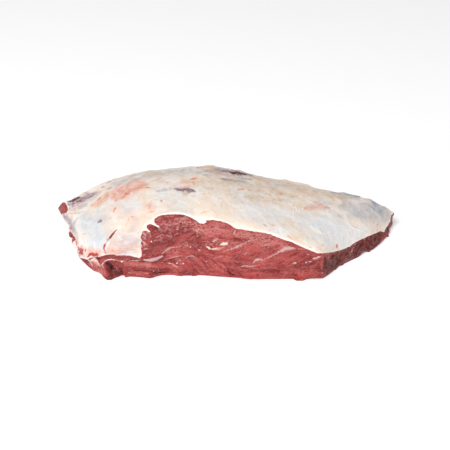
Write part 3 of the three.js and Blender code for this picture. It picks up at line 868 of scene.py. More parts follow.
    Mark("white thread, right", Tint.SUET_AND_HIGHLIGHT, ((121.2, 261.7), (122.4, 261.5)), 0.8, 0.9, 0.4),
    Mark("thread's spike", Tint.SALMON, ((117.2, 260.6), (124, 261.2), (127.9, 258.8)), 0.7, 0.75),
    Mark("thread's end", Tint.FASCIA_AND_HIGHLIGHT, ((128.6, 260.8), (134, 260.6), (141, 260.6)), 0.8, 0.7),
    Mark("flap's face", Tint.SALMON, ((92.4, 260.6), (95.6, 262), (98.4, 264.8)), 2.6, 0.8),
    Mark("flap", Tint.SUET_AND_HIGHLIGHT, ((91, 260.2), (94.6, 259.4), (97, 261.4)), 2.3, 0.85, 0.7, 0.15),
    Mark("flap's left lip", Tint.SUET_AND_HIGHLIGHT,
         ((84.2, 258.7), (87.9, 259.4), (90.6, 261.9), (92.2, 265.8)), 0.7, 0.9, 0.8, 0.1),
    Mark("flap's tip", Tint.SUET_AND_HIGHLIGHT,
         ((97.4, 261.5), (98.9, 264.4), (99.8, 266.4)), 0.8, 0.85, 0.9, 0.1),
    Mark("flap's right lip", Tint.SUET_AND_HIGHLIGHT,
         ((99.8, 266.4), (102, 264.6), (104.2, 261.8)), 0.8, 0.8, 0.9, 0.1),
    Mark("flap's red heart", Tint.RUBY, ((99, 261.6), (101.4, 262)), 1.6, 0.9),
    # painted shade: dark reds laid in the pocket's hollow
    Mark("pocket", Tint.DUSK,
         ((107, 264.6), (111, 268.6), (115.6, 271.4), (118, 272.6)), 5.0, 1.0, -2.4, 0.12),
    Mark("pocket, low", Tint.DUSK, ((108.8, 268), (110, 272), (111, 276.4)), 4.0, 1.0, -1.0, 0.12),
    Mark("pocket's depth", Tint.BLOOD_AND_SHADE,
         ((106.8, 263.4), (110, 265.6), (113.6, 269)), 3.0, 0.8, -1.6, 0.12),
    Mark("pocket's shade", Tint.BLOOD_AND_SHADE, ((108, 268), (110, 272), (111.4, 275)), 3.0, 0.55),
    Mark("pocket's floor", Tint.DUSK,
         ((110.5, 271.5), (114.5, 272.4), (119.5, 272)), 5.0, 1.0, 0.0, 0.12),
    Mark("pocket's dark foot", Tint.BLOOD_AND_SHADE,
         ((111, 268.6), (114, 271.6), (119, 272.8)), 2.8, 0.55, 0.0, 0.2),
    Mark("pocket's ridge", Tint.RUBY,
         ((104.6, 265), (106, 270), (106.8, 274), (107.8, 278)), 0.9, 0.85, 0.7, 0.15),
    Mark("pocket's right rim", Tint.PALE,
         ((112.7, 264), (116.7, 268.2), (121.6, 270.8)), 1.0, 0.5, 0.7, 0.15),
    Mark("wedge", Tint.PALE, ((90, 262.6), (97, 267.6), (103, 272.6)), 5.2, 0.72),
    Mark("wedge's shade", Tint.DUSK, ((101, 265.2), (103, 265.6)), 1.4, 0.5),
    Mark("wedge's top", Tint.DUSK, ((86.4, 261.4), (89.4, 263.4)), 1.8, 0.7),
    Mark("wedge's glint", Tint.FASCIA_AND_HIGHLIGHT, ((102.6, 266.4), (103.2, 267.4)), 1.2, 0.75),
    Mark("pocket's glint", Tint.FASCIA_AND_HIGHLIGHT, ((113.8, 266.8), (114.4, 267.6)), 0.8, 0.5),
    # painted shade: dark red in the notch and the crevice
    Mark("notch", Tint.BLOOD_AND_SHADE, ((121, 270.4), (122.6, 272)), 1.5, 0.7, -1.2),
    Mark("crevice", Tint.BLOOD_AND_SHADE,
         ((134, 270.6), (145.4, 271), (153, 271.9), (168, 272.4)), 1.3, 0.6, -1.0, 0.5),
    Mark("crevice's start", Tint.DUSK,
         ((124.4, 271), (131, 270.4), (137.4, 270.5)), 1.1, 0.7, -0.7, 0.6),
    Mark("strip's shade", Tint.DUSK,
         ((116, 268.6), (126, 268.8), (150, 269.4), (172, 270.6)), 3.0, 0.7),
    Mark("frayed strip", Tint.RUBY,
         ((125, 275.4), (126, 273), (132, 273), (146, 274.4), (152, 275.6)), 1.8, 0.45, 0.3, 0.8),
    Mark("frayed strip's light", Tint.PALE,
         ((127, 272.6), (134, 272.8), (142, 274), (150, 275.4)), 1.2, 1.0, 0.4, 0.9),
    Mark("frayed strip's gloss", Tint.FASCIA_AND_HIGHLIGHT,
         ((126.4, 272.8), (128, 272.6), (131, 273.4)), 0.8, 0.5, 0.3, 0.9),
    Mark("low left dark", Tint.BLOOD_AND_SHADE, ((150, 273.6), (162, 273)), 1.1, 0.6, -0.4, 0.7),
    Mark("left strip's light", Tint.PALE,
         ((116, 264), (130, 264.4), (146, 266), (158, 266.6)), 2.6, 0.7),
    # Fibres and creases of the front, the creases darkened as painted shade.
    Mark("first fibre crease", Tint.DUSK,
         ((191.8, 264.8), (195.9, 269.9), (200, 274)), 0.9, 0.7, -0.7),
    Mark("second fibre crease", Tint.DUSK, ((198, 265), (203, 270), (207, 274)), 0.8, 0.5, -0.5),
    Mark("third fibre crease", Tint.DUSK, ((183, 268), (189, 271.4), (193, 274)), 0.8, 0.5, -0.5),
    Mark("low crease", Tint.BLOOD_AND_SHADE,
         ((227.4, 270.2), (230.6, 273.4), (235.7, 275.4)), 1.0, 0.8, -1.2),
    Mark("low crease's ridge", Tint.RUBY,
         ((226.6, 271.4), (229.6, 274.6), (233, 276.4)), 0.9, 0.7, 0.6),
    Mark("dark dots", Tint.BLOOD_AND_SHADE, ((258.4, 267.2), (259.4, 267.8)), 0.9, 0.7),
    Mark("dark dots, low", Tint.BLOOD_AND_SHADE, ((257, 274.4), (258.4, 274.8)), 1.0, 0.7, -0.6),
    Mark("foot's fray", Tint.RUBY, ((236, 276), (248, 276.6), (262, 276.4)), 1.3, 0.6, 0.7),
    Mark("drip", Tint.RUBY, ((295, 277.2), (299, 278.6), (302.4, 277)), 1.9, 0.95, 1.8),
    # The right end.
    # painted highlight: pale along the right corner's edge, where it catches the light
    Mark("corner edge's painted highlight", Tint.PALE,
         ((322.8, 254.8), (323.2, 260.6), (321.8, 264), (322.4, 272), (321.2, 277)),
         1.1, 0.55, 0.8),
    # painted shade: dark red in the end's holes and fibre grooves
    Mark("end's dark hole", Tint.BLOOD_AND_SHADE, ((330.4, 258.4), (334, 256)), 1.5, 0.55, -1.0),
    Mark("end's corner hole", Tint.BLOOD_AND_SHADE, ((325.4, 260), (325, 265)), 1.3, 0.45, -0.8),
    Mark("end's first fibre", Tint.BLOOD_AND_SHADE, ((335, 266), (339, 261), (343, 253)), 1.1, 0.45, -0.9),
    Mark("end's second fibre", Tint.PALE,
         ((347, 259), (350.2, 255.5), (353.6, 247.2)), 1.3, 0.9, 0.5),
    Mark("end's third fibre", Tint.BLOOD_AND_SHADE, ((355, 256), (358, 250), (363, 243)), 1.2, 0.5, -0.9),
    Mark("end's fourth fibre", Tint.BLOOD_AND_SHADE, ((367, 249), (371, 242), (375, 237)), 1.1, 0.45, -0.8),
    Mark("end's red fibre", Tint.RUBY, ((337, 261), (340, 257.4), (343, 252.6)), 1.2, 0.55),
    Mark("end's second red fibre", Tint.RUBY, ((361, 249), (365, 244), (370, 238.4)), 1.4, 0.5),
    Mark("end's red border", Tint.RUBY, ((352.4, 245.4), (360, 241.2), (366, 238.4)), 1.2, 0.6),
    Mark("end's first glint", Tint.FASCIA_AND_HIGHLIGHT, ((353.6, 244.6), (356, 243.6)), 0.9, 0.55),
    Mark("end's second glint", Tint.FASCIA_AND_HIGHLIGHT, ((363.6, 239.9), (365.4, 239)), 0.8, 0.5),
    Mark("end's warm fringe", Tint.SALMON, ((379.6, 230.9), (382.6, 231.4)), 1.0, 0.5),
    Mark("end's bare tip", Tint.RUBY, ((377, 233), (381, 232), (386, 234.6)), 1.6, 0.5, 0.6),
    Mark("end's dark foot", Tint.BLOOD_AND_SHADE, ((324, 277), (332, 271), (345, 262)), 2.0, 0.4),
    # The comb of thin seams along the lobe's left border.
    Mark("first comb stroke", Tint.FASCIA_AND_HIGHLIGHT, ((141.6, 236.6), (144.4, 238), (146.6, 240)), 0.8, 0.7),
    Mark("second comb stroke", Tint.FASCIA_AND_HIGHLIGHT,
         ((142, 232.8), (144.8, 233.6), (145.3, 236.6)), 0.8, 0.8),
    Mark("third comb stroke", Tint.FASCIA_AND_HIGHLIGHT,
         ((149.4, 233.2), (150.6, 235.6), (150.8, 237.4)), 0.8, 0.7),
    Mark("fourth comb stroke", Tint.FASCIA_AND_HIGHLIGHT,
         ((141.6, 244.6), (144.8, 246), (146.8, 246.4)), 0.8, 0.55),
    Mark("fifth comb stroke", Tint.FASCIA_AND_HIGHLIGHT, ((158.4, 227), (160.8, 229), (161.6, 231.4)), 0.8, 0.6),
    Mark("sixth comb stroke", Tint.FASCIA_AND_HIGHLIGHT, ((141.6, 254.4), (145, 255)), 0.8, 0.5),
    Mark("first faint spot", Tint.FASCIA_AND_HIGHLIGHT, ((154.8, 240.6), (155.8, 240.8)), 0.9, 0.6),
    Mark("second faint spot", Tint.FASCIA_AND_HIGHLIGHT, ((176.6, 229.4), (178.2, 229.6)), 0.9, 0.5),
    Mark("third faint spot", Tint.FASCIA_AND_HIGHLIGHT, ((187, 229.4), (188.4, 229.6)), 0.9, 0.5),
    Mark("fourth faint spot", Tint.FASCIA_AND_HIGHLIGHT, ((196.6, 236.2), (198, 236.6)), 0.9, 0.5),
    Mark("fifth faint spot", Tint.FASCIA_AND_HIGHLIGHT, ((215, 264.2), (216.4, 264.4)), 0.9, 0.5),
    # painted highlights: a broad pale spot and a small one
    Mark("broad pale spot", Tint.PALE, ((146, 264.8), (150, 264.4)), 2.0, 0.8),
    Mark("pale spot by the streak", Tint.FASCIA_AND_HIGHLIGHT, ((161.4, 262.4), (162.8, 262.4)), 0.9, 0.5),
)


@dataclass(frozen=True)
class Nudge:
    """A stretch of the outline that is pulled across the picture."""

    name: str
    path: tuple[Pixel, ...]
    reach: float  # how far the pull spreads, in millimetres
    shift: Pixel  # pixels to the right and down


NUDGES = (
    # The top, from the left.
    Nudge("knob's left side", ((59.6, 205), (59.6, 208)), 4, (-1.2, 0.0)),
    Nudge("behind the knob", ((67.4, 197.2), (75, 194.2)), 7.5, (0.8, 4.4)),
    Nudge("knob's crown", ((61.6, 203), (62.6, 203)), 3, (0.0, -1.2)),
    Nudge("knob's neck", ((69.4, 199.4), (70.8, 199)), 3, (0.6, 1.4)),
    Nudge("left shoulder's start", ((81, 192), (84, 191)), 7, (0.0, 1.2)),
    Nudge("left shoulder", ((98, 186.2), (110, 181)), 9, (0.0, -1.2)),
    Nudge("crest notch", ((155, 169.3), (162, 169)), 5, (0.0, 1.7)),
    Nudge("crest peak", ((190, 166), (191, 166)), 3, (0.0, -0.6)),
    Nudge("second peak", ((208, 166), (212, 166)), 4, (0.0, -1.3)),
    Nudge("maroon notch", ((224, 166.8), (232, 168.2)), 6, (0.0, 1.8)),
    Nudge("maroon bump", ((235, 168.8), (238, 169.6)), 3, (0.0, -0.7)),
    Nudge("far bump", ((288, 181.6), (307, 185.6)), 7, (0.0, -2.0)),
    Nudge("step before the strip", ((311, 186.6), (313, 187)), 3, (0.0, 0.6)),
    Nudge("strip's bulge", ((346, 194.3), (358, 197)), 7, (0.0, -1.7)),
    Nudge("end step", ((362, 198), (364, 198.4)), 3, (0.0, 0.7)),
    Nudge("end's slope", ((380, 203), (389, 207.6)), 6, (0.0, 1.8)),
    # The right end, from the tip.
    Nudge("right tip", ((392.2, 213), (392.3, 214)), 4, (2.0, -0.2)),
    Nudge("under the tip", ((392.9, 224.5), (390.4, 229.6)), 5, (-2.4, 0.0)),
    Nudge("end's upper side", ((387.6, 232), (381, 240), (372.5, 247)), 8, (1.3, 1.4)),
    Nudge("spike on the end", ((387.4, 235.4), (387.8, 235.8)), 2, (1.6, 0.6)),
    Nudge("second spike on the end", ((368.4, 250.6), (369, 250.8)), 2.4, (0.4, 1.6)),
    Nudge("end's lower side", ((344, 261.5), (357, 255)), 7, (0.7, 1.9)),
    Nudge("end's foot", ((323, 276), (334, 267.7)), 6, (0.8, 1.3)),
    Nudge("end's underside", ((336, 266.6), (341, 264)), 4, (0.8, 1.0)),
    # The foot, from the right.
    Nudge("foot", ((302, 278), (250, 277.3), (170, 273.7), (106, 277.5)), 7, (0.0, 1.2)),
    Nudge("drip", ((298, 277.6), (301, 277.8)), 4, (0.0, 1.7)),
    Nudge("foot's first bump", ((246, 277.2), (248, 277.2)), 5, (0.0, 0.5)),
    Nudge("foot's second bump", ((194, 274), (195, 274)), 2.4, (0.0, 0.8)),
    Nudge("foot's third bump", ((178, 274.2), (180, 274.2)), 3, (0.0, 0.7)),
    Nudge("foot's notch", ((122.2, 275.2), (122.8, 275.2)), 2.6, (0.0, -3.8)),
    Nudge("strip's corner", ((125.8, 275.2), (126.4, 275.2)), 2.4, (-0.6, 0.9)),
    Nudge("left corner", ((108, 278), (110, 278.2)), 5, (0.0, 0.7)),
    # The left side, from the foot.
    Nudge("left side", ((94, 268.4), (88, 263.5), (80.8, 256)), 7, (-1.7, 1.3)),
    Nudge("side's middle", ((75.6, 244), (74.8, 239)), 4.4, (-3.0, 0.0)),
    Nudge("side nodule", ((70.2, 234), (70.8, 236.4)), 3.6, (-3.4, 0.2)),
    Nudge("side's dot", ((70, 227.6), (70, 230.4)), 3, (-1.6, 0.0)),
)

# The border between fat and lean as the photograph shows it, from the left tip along the front
# to the right tip. The stretch beside the left flank runs just outside the silhouette.
FAT_BORDER: tuple[Pixel, ...] = (
    (64, 190), (64.6, 202), (67.2, 205.8), (68.2, 209.7), (66.6, 212.8), (62, 214.2), (56, 217),
    (60, 226), (66, 231), (70.8, 231.4), (72.8, 234.3), (75.9, 239.4), (73, 242), (70, 248),
    (73, 256), (79.6, 257.8), (84.1, 258.4), (87.9, 258.9), (91, 257.7), (95.7, 257.1),
    (99.3, 256.7), (107.3, 254.8), (113.6, 254.5), (117.6, 255.5), (127, 255.3), (133, 256.5),
    (139.5, 258), (141.4, 256.6), (141.8, 252.4), (140.8, 249), (142, 245.8), (140.9, 243),
    (142.2, 240.4), (140.8, 237.4), (141.7, 234.4), (142.2, 231.4),
    (144, 230.4), (146.2, 230.4), (149.6, 232.4), (150.2, 231.8), (147.6, 229.2), (146.4, 226.9),
    (147.4, 225.2), (149.8, 224), (152.6, 224.2), (158.8, 227.6), (159.4, 226.8), (154.6, 222.9),
    (153.6, 221.3), (154.6, 218.8), (157.6, 216.4), (161.6, 215), (167.8, 214.3), (175.9, 214.1),
    (183.6, 214.7), (190.4, 217.2), (195.8, 220.2), (199.9, 223), (203.5, 223.6), (206.4, 222.3),
    (205.8, 220.4), (212.2, 220), (221.4, 221), (228.6, 223.6), (233.7, 227.6), (237.5, 229),
    (249, 230.6), (263.3, 232.7), (270.4, 234.1), (278.9, 237.9), (292.3, 242.2), (304.4, 247.8),
    (317.3, 253.1), (323.4, 253.3), (333, 252.1), (342.1, 249.8), (350.2, 246.3), (352.5, 244),
    (358.8, 240.6), (367.4, 236.6), (372.2, 234.4), (376.4, 232.9), (380.2, 230.8), (384, 232.1),
    (387.5, 226), (390.6, 220.2), (391, 215.6), (393, 213.6), (400, 206), (400, 190),
)


@dataclass
class MarkPen:
    """Places pixel paths on a surface, along the camera's rays."""

    camera: PhotoCamera
    body: Skin
    step: float = 1.0  # pixels between the points of a placed path
    hidden: float = -0.2  # what faces the camera less than this takes no path's points
    spread: float = 2.2  # how far out a mark is measured, in its reaches
    tapering: float = 0.6  # how much a slender mark narrows towards its ends
    slender: Span = (2.0, 5.0)  # length in reaches, from a blunt mark to a slender one
    broad: Span = (1.5, 5.0)  # reach, from a mark with firm edges to one with soft edges
    least_wave: float = 1.6  # size of the waves of a mark's edge
    wave_share: float = 0.8  # the same, as a share of its reach

    def __post_init__(self) -> None:
        """Prepare the surface for ray casting."""
        self.tree = BVHTree.FromPolygons(self.body.points.tolist(), self.body.triangles.tolist())
        self.pixels = self.camera.project(self.body.points)
        facing = self.camera.facing(self.body.points, self.body.normals())
        self.pixels[facing < self.hidden] = np.inf
        self.wobble = LatticeNoise(SEED + 1)

    def on_surface(self, path: tuple[Pixel, ...]) -> np.ndarray:
        """Put a pixel path on the surface; off its outline, at the nearest point of that.

        Args:
            path: Pixels of the photograph.

        Returns:
            Points of the surface, of shape (k, 3).
        """
        pixels = np.array(path, dtype=float)
        lengths = np.linalg.norm(np.diff(pixels, axis=0), axis=1)
        along = np.concatenate([[0.0], np.cumsum(lengths)])
        places = np.linspace(0.0, along[-1], max(2, int(along[-1] / self.step) + 1))
        origin = Vector(self.camera.place)
        hits = []
        for place in places:
            pixel = np.array([np.interp(place, along, pixels[:, k]) for k in range(2)])
            hit = self.tree.ray_cast(origin, Vector(self.camera.ray(tuple(pixel))))[0]
            if hit is None:
                nearest = np.argmin(((self.pixels - pixel) ** 2).sum(axis=1))
                hit = self.body.points[nearest]
            hits.append(np.array(hit))
        return np.array(hits)

    def nearness(self, points: np.ndarray, mark: Mark) -> np.ndarray:
        """Measure how strongly a mark shows at points.

        Args:
            points: An array of shape (n, 3).
            mark: The mark.

        Returns:
            Values from 0 to 1.
        """
        path = self.camera.flattened(self.on_surface(mark.path))
        seen = self.camera.flattened(points)
        distance, place = follow_path(seen, path, self.spread * mark.reach)
        found = np.isfinite(distance)
        if not found.any():
            log.warning("%s: no point is near it", mark.name)
        value = np.zeros(len(points))
        wave = max(self.least_wave, self.wave_share * mark.reach)
        wander = self.wobble.rough(points[found], wave, 3)
        length = np.linalg.norm(np.diff(path, axis=0), axis=1).sum()
        slender = ease(np.array(length / mark.reach), *self.slender)
        taper = 1.0 - self.tapering * slender * (1.0 - np.sin(math.pi * place[found]))
        soft = ease(np.array(mark.reach), *self.broad)
        away = distance[found] / (mark.reach * taper) + mark.ragged * wander
        gone, full = 1.35 + 0.2 * soft, 0.45 - 0.35 * soft
        value[found] = ease(away, gone, full)
        return value


# ---- the slab's body ------------------------------------------------------------------------


@dataclass
class Slab:
    """The whole slab as one carved surface, before it is parted into lean and cover."""

    camera: PhotoCamera
    voxel: float = 1.4
    margin: float = 3.0  # width of the strip of cover beside its border that is made finer
    small: float = 3.2  # marks of a smaller reach than this get a finer surface too
    seen: float = -0.1  # what faces the camera less than this stays coarse
    bead: float = 0.45  # height of the fat's swollen rim
    bead_place: float = 1.6  # how far into the fat its crest lies
    bead_width: float = 1.5
    swell: float = 1.0  # heights of the relief, and the size of its waves
    swell_grain: float = 34.0
    lumps: float = 0.45
    lump_grain: float = 9.0
    fibres: float = 0.28
    fibre_grain: float = 2.6
    fibre_stretch: float = 0.35
    fibre_slant: float = 0.25
    bare: Span = (0.5, -1.0)  # distance into the fat, from none of the fibres to all
    foot: Span = (0.6, 5.0)  # height over the table, from none of the relief to all
    turning: Span = (-0.05, 0.12)  # from hidden to shown, by how it faces the camera
    border_wander: float = 0.35
    border_grain: float = 3.2
    back_edge: float = 14.0  # height of the cover's edge on the back
    back_wander: float = 3.0
    back_grain: float = 30.0
    floor_gap: float = 0.1
    body: Skin = field(init=False)
    fat_level: np.ndarray = field(init=False)

    def build(self) -> None:
        """Grow, refine and carve the surface, and measure where the fat is."""
        body = self.grow()
        level = self.measure_fat(body)
        shown = self.camera.facing(body.points, body.normals()) > self.seen
        fine = (level < self.margin) & shown
        pen = MarkPen(self.camera, body)
        for mark in (m for m in COVER_MARKS if m.reach < self.small):
            path = pen.on_surface(mark.path)
            fine |= np.isfinite(follow_path(body.points, path, mark.reach + self.voxel)[0])
        self.body = body.refined(fine[body.triangles].all(axis=1))
        self.carve()
        self.fat_level = self.measure_fat(self.body)

    def grow(self) -> Skin:
        """Join the frame's solids into one fine, smooth surface.

        Returns:
            The surface.
        """
        cage = bmesh.new()
        for node in ("lean", "fat_cover"):
            cage.from_mesh(frame["nodes"][node].data)
        bmesh.ops.remove_doubles(cage, verts=cage.verts, dist=1e-6)
        bmesh.ops.join_triangles(
            cage, faces=cage.faces, angle_face_threshold=0.6, angle_shape_threshold=0.9
        )
        mesh = bpy.data.meshes.new("cage")
        cage.to_mesh(mesh)
        cage.free()
        holder = bpy.data.objects.new("cage", mesh)
        bpy.context.scene.collection.objects.link(holder)
        rounding = holder.modifiers.new("rounding", "SUBSURF")
        rounding.levels = rounding.render_levels = 2
        remesh = holder.modifiers.new("voxels", "REMESH")
        remesh.mode, remesh.voxel_size = "VOXEL", self.voxel / METRE
        skin = Skin.of_object(holder).largest_part()
        bpy.data.objects.remove(holder)
        bpy.data.meshes.remove(mesh)
        return skin.smoothed(rounds=2, amount=0.6)

    def carve(self) -> None:
        """Give the surface its swells, lumps, fibres, folds and bumps, all but the underside."""
        noise = LatticeNoise(SEED)
        points, normals = self.body.points, self.body.normals()
        level = self.measure_fat(self.body)
        bare = ease(level, *self.bare)
        stretched = points @ np.diag([self.fibre_stretch, 1.0, 1.0])
        stretched += self.fibre_slant * points[:, [2, 0, 1]]
        height = self.swell * noise.rough(points, self.swell_grain, 2)
        height += self.lumps * noise.rough(points, self.lump_grain, 2)
        height += self.fibres * bare * noise.rough(stretched, self.fibre_grain, 2)
        height += self.bead * np.exp(-(((level - self.bead_place) / self.bead_width) ** 2))
        pen = MarkPen(self.camera, self.body)
        for mark in (m for m in COVER_MARKS + LEAN_MARKS if m.lift):
            height += mark.lift * pen.nearness(points, mark)
        height *= ease(points[:, 2], *self.foot)
        moved = points + normals * height[:, None] + self.nudged(pen)
        # What would sink into the table slides over it instead, so that the outline stays.
        sunk = np.maximum(self.floor_gap - moved[:, 2], 0.0)
        moved[:, 2] += sunk
        shown = points[:, 1] < 0
        moved[:, 1] -= np.where(shown, sunk / math.tan(self.camera.elevation), 0.0)
        self.body = Skin(moved, self.body.triangles)

    def nudged(self, pen: MarkPen) -> np.ndarray:
        """Pull the outline to where the photograph has it.

        Args:
            pen: What places the nudges.

        Returns:
            Each point's shift, of shape (n, 3).
        """
        points = self.body.points
        right, up, _ = self.camera.axes
        total = np.zeros_like(points)
        for nudge in NUDGES:
            away, _ = follow_path(points, pen.on_surface(nudge.path), 1.7 * nudge.reach)
            if not np.isfinite(away).any():
                log.warning("%s: no point is near it", nudge.name)
            pull = ease(away / nudge.reach, 1.6, 0.3)[:, None] * self.camera.pixel_size
            total += pull * (right * nudge.shift[0] - up * nudge.shift[1])
        return total

    def measure_fat(self, body: Skin) -> np.ndarray:
        """Measure the distance into the fat from its border, below zero on the lean.

        Args:
            body: The surface.

        Returns:
            One value per point.
        """
        share = ease(self.camera.facing(body.points, body.normals()), *self.turning)
        noise = LatticeNoise(SEED + 3)
        wander = self.border_wander * noise.rough(body.points, self.border_grain, 2)
        shown, hidden = self.shown_level(body.points), self.hidden_level(body.points)
        return (shown + wander) * share + hidden * (1.0 - share)

    def shown_level(self, points: np.ndarray) -> np.ndarray:
        """Measure it across the photograph, from the border drawn there.

        Args:
            points: An array of shape (n, 3).

        Returns:
            One value per point.
        """
        pixels = self.camera.project(points)
        border = np.array(FAT_BORDER)
        distance, _ = follow_path(pixels, border, reach=1e6)
        above = [[FAT_BORDER[-1][0], 0], [FAT_BORDER[0][0], 0]]
        outline = np.concatenate([border, above])
        inside = np.zeros(len(pixels), dtype=bool)
        for (x0, y0), (x1, y1) in zip(outline, np.roll(outline, -1, axis=0)):
            if y0 == y1:
                continue
            spans = (y0 > pixels[:, 1]) != (y1 > pixels[:, 1])
            meets = x0 + (pixels[:, 1] - y0) / (y1 - y0) * (x1 - x0)
            inside ^= spans & (pixels[:, 0] < meets)
        return np.where(inside, distance, -distance) * self.camera.pixel_size

    def hidden_level(self, points: np.ndarray) -> np.ndarray:
        """Measure it on the back and the far sides, by height over the table.

        Args:
            points: An array of shape (n, 3).

        Returns:
            One value per point.
        """
        noise = LatticeNoise(SEED + 2)
        edge = self.back_edge + self.back_wander * noise.rough(points, self.back_grain, 3)
        knob_end, front = -190.0, -70.0  # x and y where it ends on the far sides
        level = np.minimum(points[:, 2] - edge, points[:, 0] - knob_end)
        return np.minimum(level, points[:, 1] - front)


# ---- the two pieces -------------------------------------------------------------------------


@dataclass
class LeanMuscle:
    """The red muscle: the slab's cut faces and underside, lowered where the cover lies on it."""

    slab: Slab
    depth: float = 2.2  # how deep it runs below the cover's surface
    step: Span = (-0.4, 1.4)  # distance into the fat over which it goes down to that
    covered: float = 2.5  # this far into the fat it is hidden
    underside: float = 1.0  # and below this height too
    kept: float = 0.55  # share of the triangles that stays

    def build(self) -> bpy.types.Object:
        """Make the muscle's object.

        Returns:
            The object, before it is dressed.
        """
        body, level = self.slab.body, self.slab.fat_level
        lowered = self.depth * ease(level, *self.step)
        skin = Skin(body.points - body.normals() * lowered[:, None], body.triangles)
        hidden = (level > self.covered) | (body.points[:, 2] < self.underside)
        made = skin.slimmed(hidden, self.kept).to_object("lean_muscle")
        store_marks(made, MarkPen(self.slab.camera, body), LEAN_MARKS)
        return made


@dataclass
class FatCover:
    """The fat and silverskin: a closed skin with a rounded lip along its border."""

    slab: Slab
    thickness: float = 2.6
    kept: float = 0.58  # share of the triangles that stays
    edge_limit: float = 12.0  # distances from the border are stored up to this
    # How deep and how far out each ring of the lip lies, as shares of the thickness.
    lip: tuple[Span, ...] = ((0.2, 0.2), (0.55, 0.28))

    def build(self) -> bpy.types.Object:
        """Make the cover's object.

        Returns:
            The object, before it is dressed.
        """
        body = self.slab.body
        outer = body.cut_above(self.slab.fat_level)
        skin, hidden = self.closed(outer)
        made = skin.slimmed(hidden, self.kept).to_object("fat_and_silverskin")
        store_marks(made, MarkPen(self.slab.camera, body), COVER_MARKS)
        self.store_edge(made, outer)
        return made

    def closed(self, outer: Skin) -> tuple[Skin, np.ndarray]:
        """Add the lip and the inner face.

        Args:
            outer: The open outer surface.

        Returns:
            The closed skin, and 1 for its inner points.
        """
        normals = outer.normals()
        size = len(outer.points)
        rim = outer.rim()
        along = outer.points[rim[:, 1]] - outer.points[rim[:, 0]]
        away = np.cross(along, normals[rim[:, 0]])
        side = outer.gathered(rim.ravel(), np.repeat(away, 2, axis=0))
        ring = np.unique(rim)
        side = side[ring] / np.maximum(np.linalg.norm(side[ring], axis=1, keepdims=True), TINY)
        place = np.full(size, -1)
        place[ring] = np.arange(len(ring))
        points = [outer.points, outer.points - normals * self.thickness]
        rings = [ring]
        for deep, out in self.lip:
            shift = (side * out - normals[ring] * deep) * self.thickness
            rings.append(2 * size + len(ring) * (len(rings) - 1) + np.arange(len(ring)))
            points.append(outer.points[ring] + shift)
        rings.append(size + ring)
        triangles = [outer.triangles, outer.triangles[:, ::-1] + size]
        first, second = place[rim[:, 0]], place[rim[:, 1]]
        for upper, lower in zip(rings[:-1], rings[1:]):
            a, b, c, d = upper[first], upper[second], lower[first], lower[second]
            triangles += [np.stack([b, a, c], axis=1), np.stack([b, c, d], axis=1)]
        hidden = np.zeros(sum(len(p) for p in points))
        hidden[size : 2 * size] = 1.0
        return Skin(np.concatenate(points), np.concatenate(triangles)), hidden

    def store_edge(self, made: bpy.types.Object, outer: Skin) -> None:
        """Write each point's distance from the border, up to a limit, as an attribute.

        Args:
            made: The cover's object.
            outer: The open outer surface.
        """
        rim = outer.rim()
        slivers = np.stack([rim[:, 0], *rim.T], axis=1)  # each side as a triangle without area
        ring = BVHTree.FromPolygons(outer.points.tolist(), slivers.tolist())
        away = []
        for point in mesh_points(made):
            distance = ring.find_nearest(Vector(point), self.edge_limit)[3]
            away.append(self.edge_limit if distance is None else distance)
        store_value(made, "edge", np.array(away))


def mesh_points(piece: bpy.types.Object) -> np.ndarray:
    """Read an object's points.

    Args:
        piece: A mesh object.

    Returns:
        An array of shape (n, 3), in millimetres.
    """
    points = np.empty(len(piece.data.vertices) * 3)
    piece.data.vertices.foreach_get("co", points)
    return points.reshape(-1, 3) * METRE


def store_value(piece: bpy.types.Object, name: str, values: np.ndarray) -> None:
    """Write a number for each point as an attribute."""
    piece.data.attributes.new(name, "FLOAT", "POINT").data.foreach_set("value", values)


def store_marks(piece: bpy.types.Object, pen: MarkPen, marks: tuple[Mark, ...]) -> None:
    """Write how strongly each tint shows as attributes of a piece.

    Args:
        piece: The object.
        pen: What places the marks.
        marks: The marks of this piece.
    """
    points = mesh_points(piece)
    shares = {tint: np.zeros(len(points)) for tint in Tint if any(m.tint is tint for m in marks)}
    for mark in marks:
        shown = mark.strength * pen.nearness(points, mark)
        shares[mark.tint] = np.maximum(shares[mark.tint], shown)
    for tint, values in shares.items():
        store_value(piece, tint.value, values)


# ---- shaders --------------------------------------------------------------------------------


class Value:
    """A number of a shader, for use in Python expressions."""

    def __init__(self, shader: "Shader", socket: bpy.types.NodeSocket) -> None:
        """Wrap an output socket."""
        self.shader = shader
        self.socket = socket

    def __add__(self, other: "Value | float") -> "Value":
        """Sum."""
        return self.shader.maths("ADD", self, other)

    __radd__ = __add__

    def __sub__(self, other: "Value | float") -> "Value":
        """Difference."""
        return self.shader.maths("SUBTRACT", self, other)

    def __rsub__(self, other: "Value | float") -> "Value":
        """Difference, from a number."""
        return self.shader.maths("SUBTRACT", other, self)

    def __mul__(self, other: "Value | float") -> "Value":
        """Product."""
        return self.shader.maths("MULTIPLY", self, other)

    def frayed(self, grain: "Value", amount: float) -> "Value":
        """Unsettle the number along a noise, so that the edges drawn from it fray.

        Args:
            grain: Noise from 0 to 1.
            amount: How far the noise moves the number, from end to end.

        Returns:
            The frayed number.
        """
        return self + (grain - 0.5) * amount


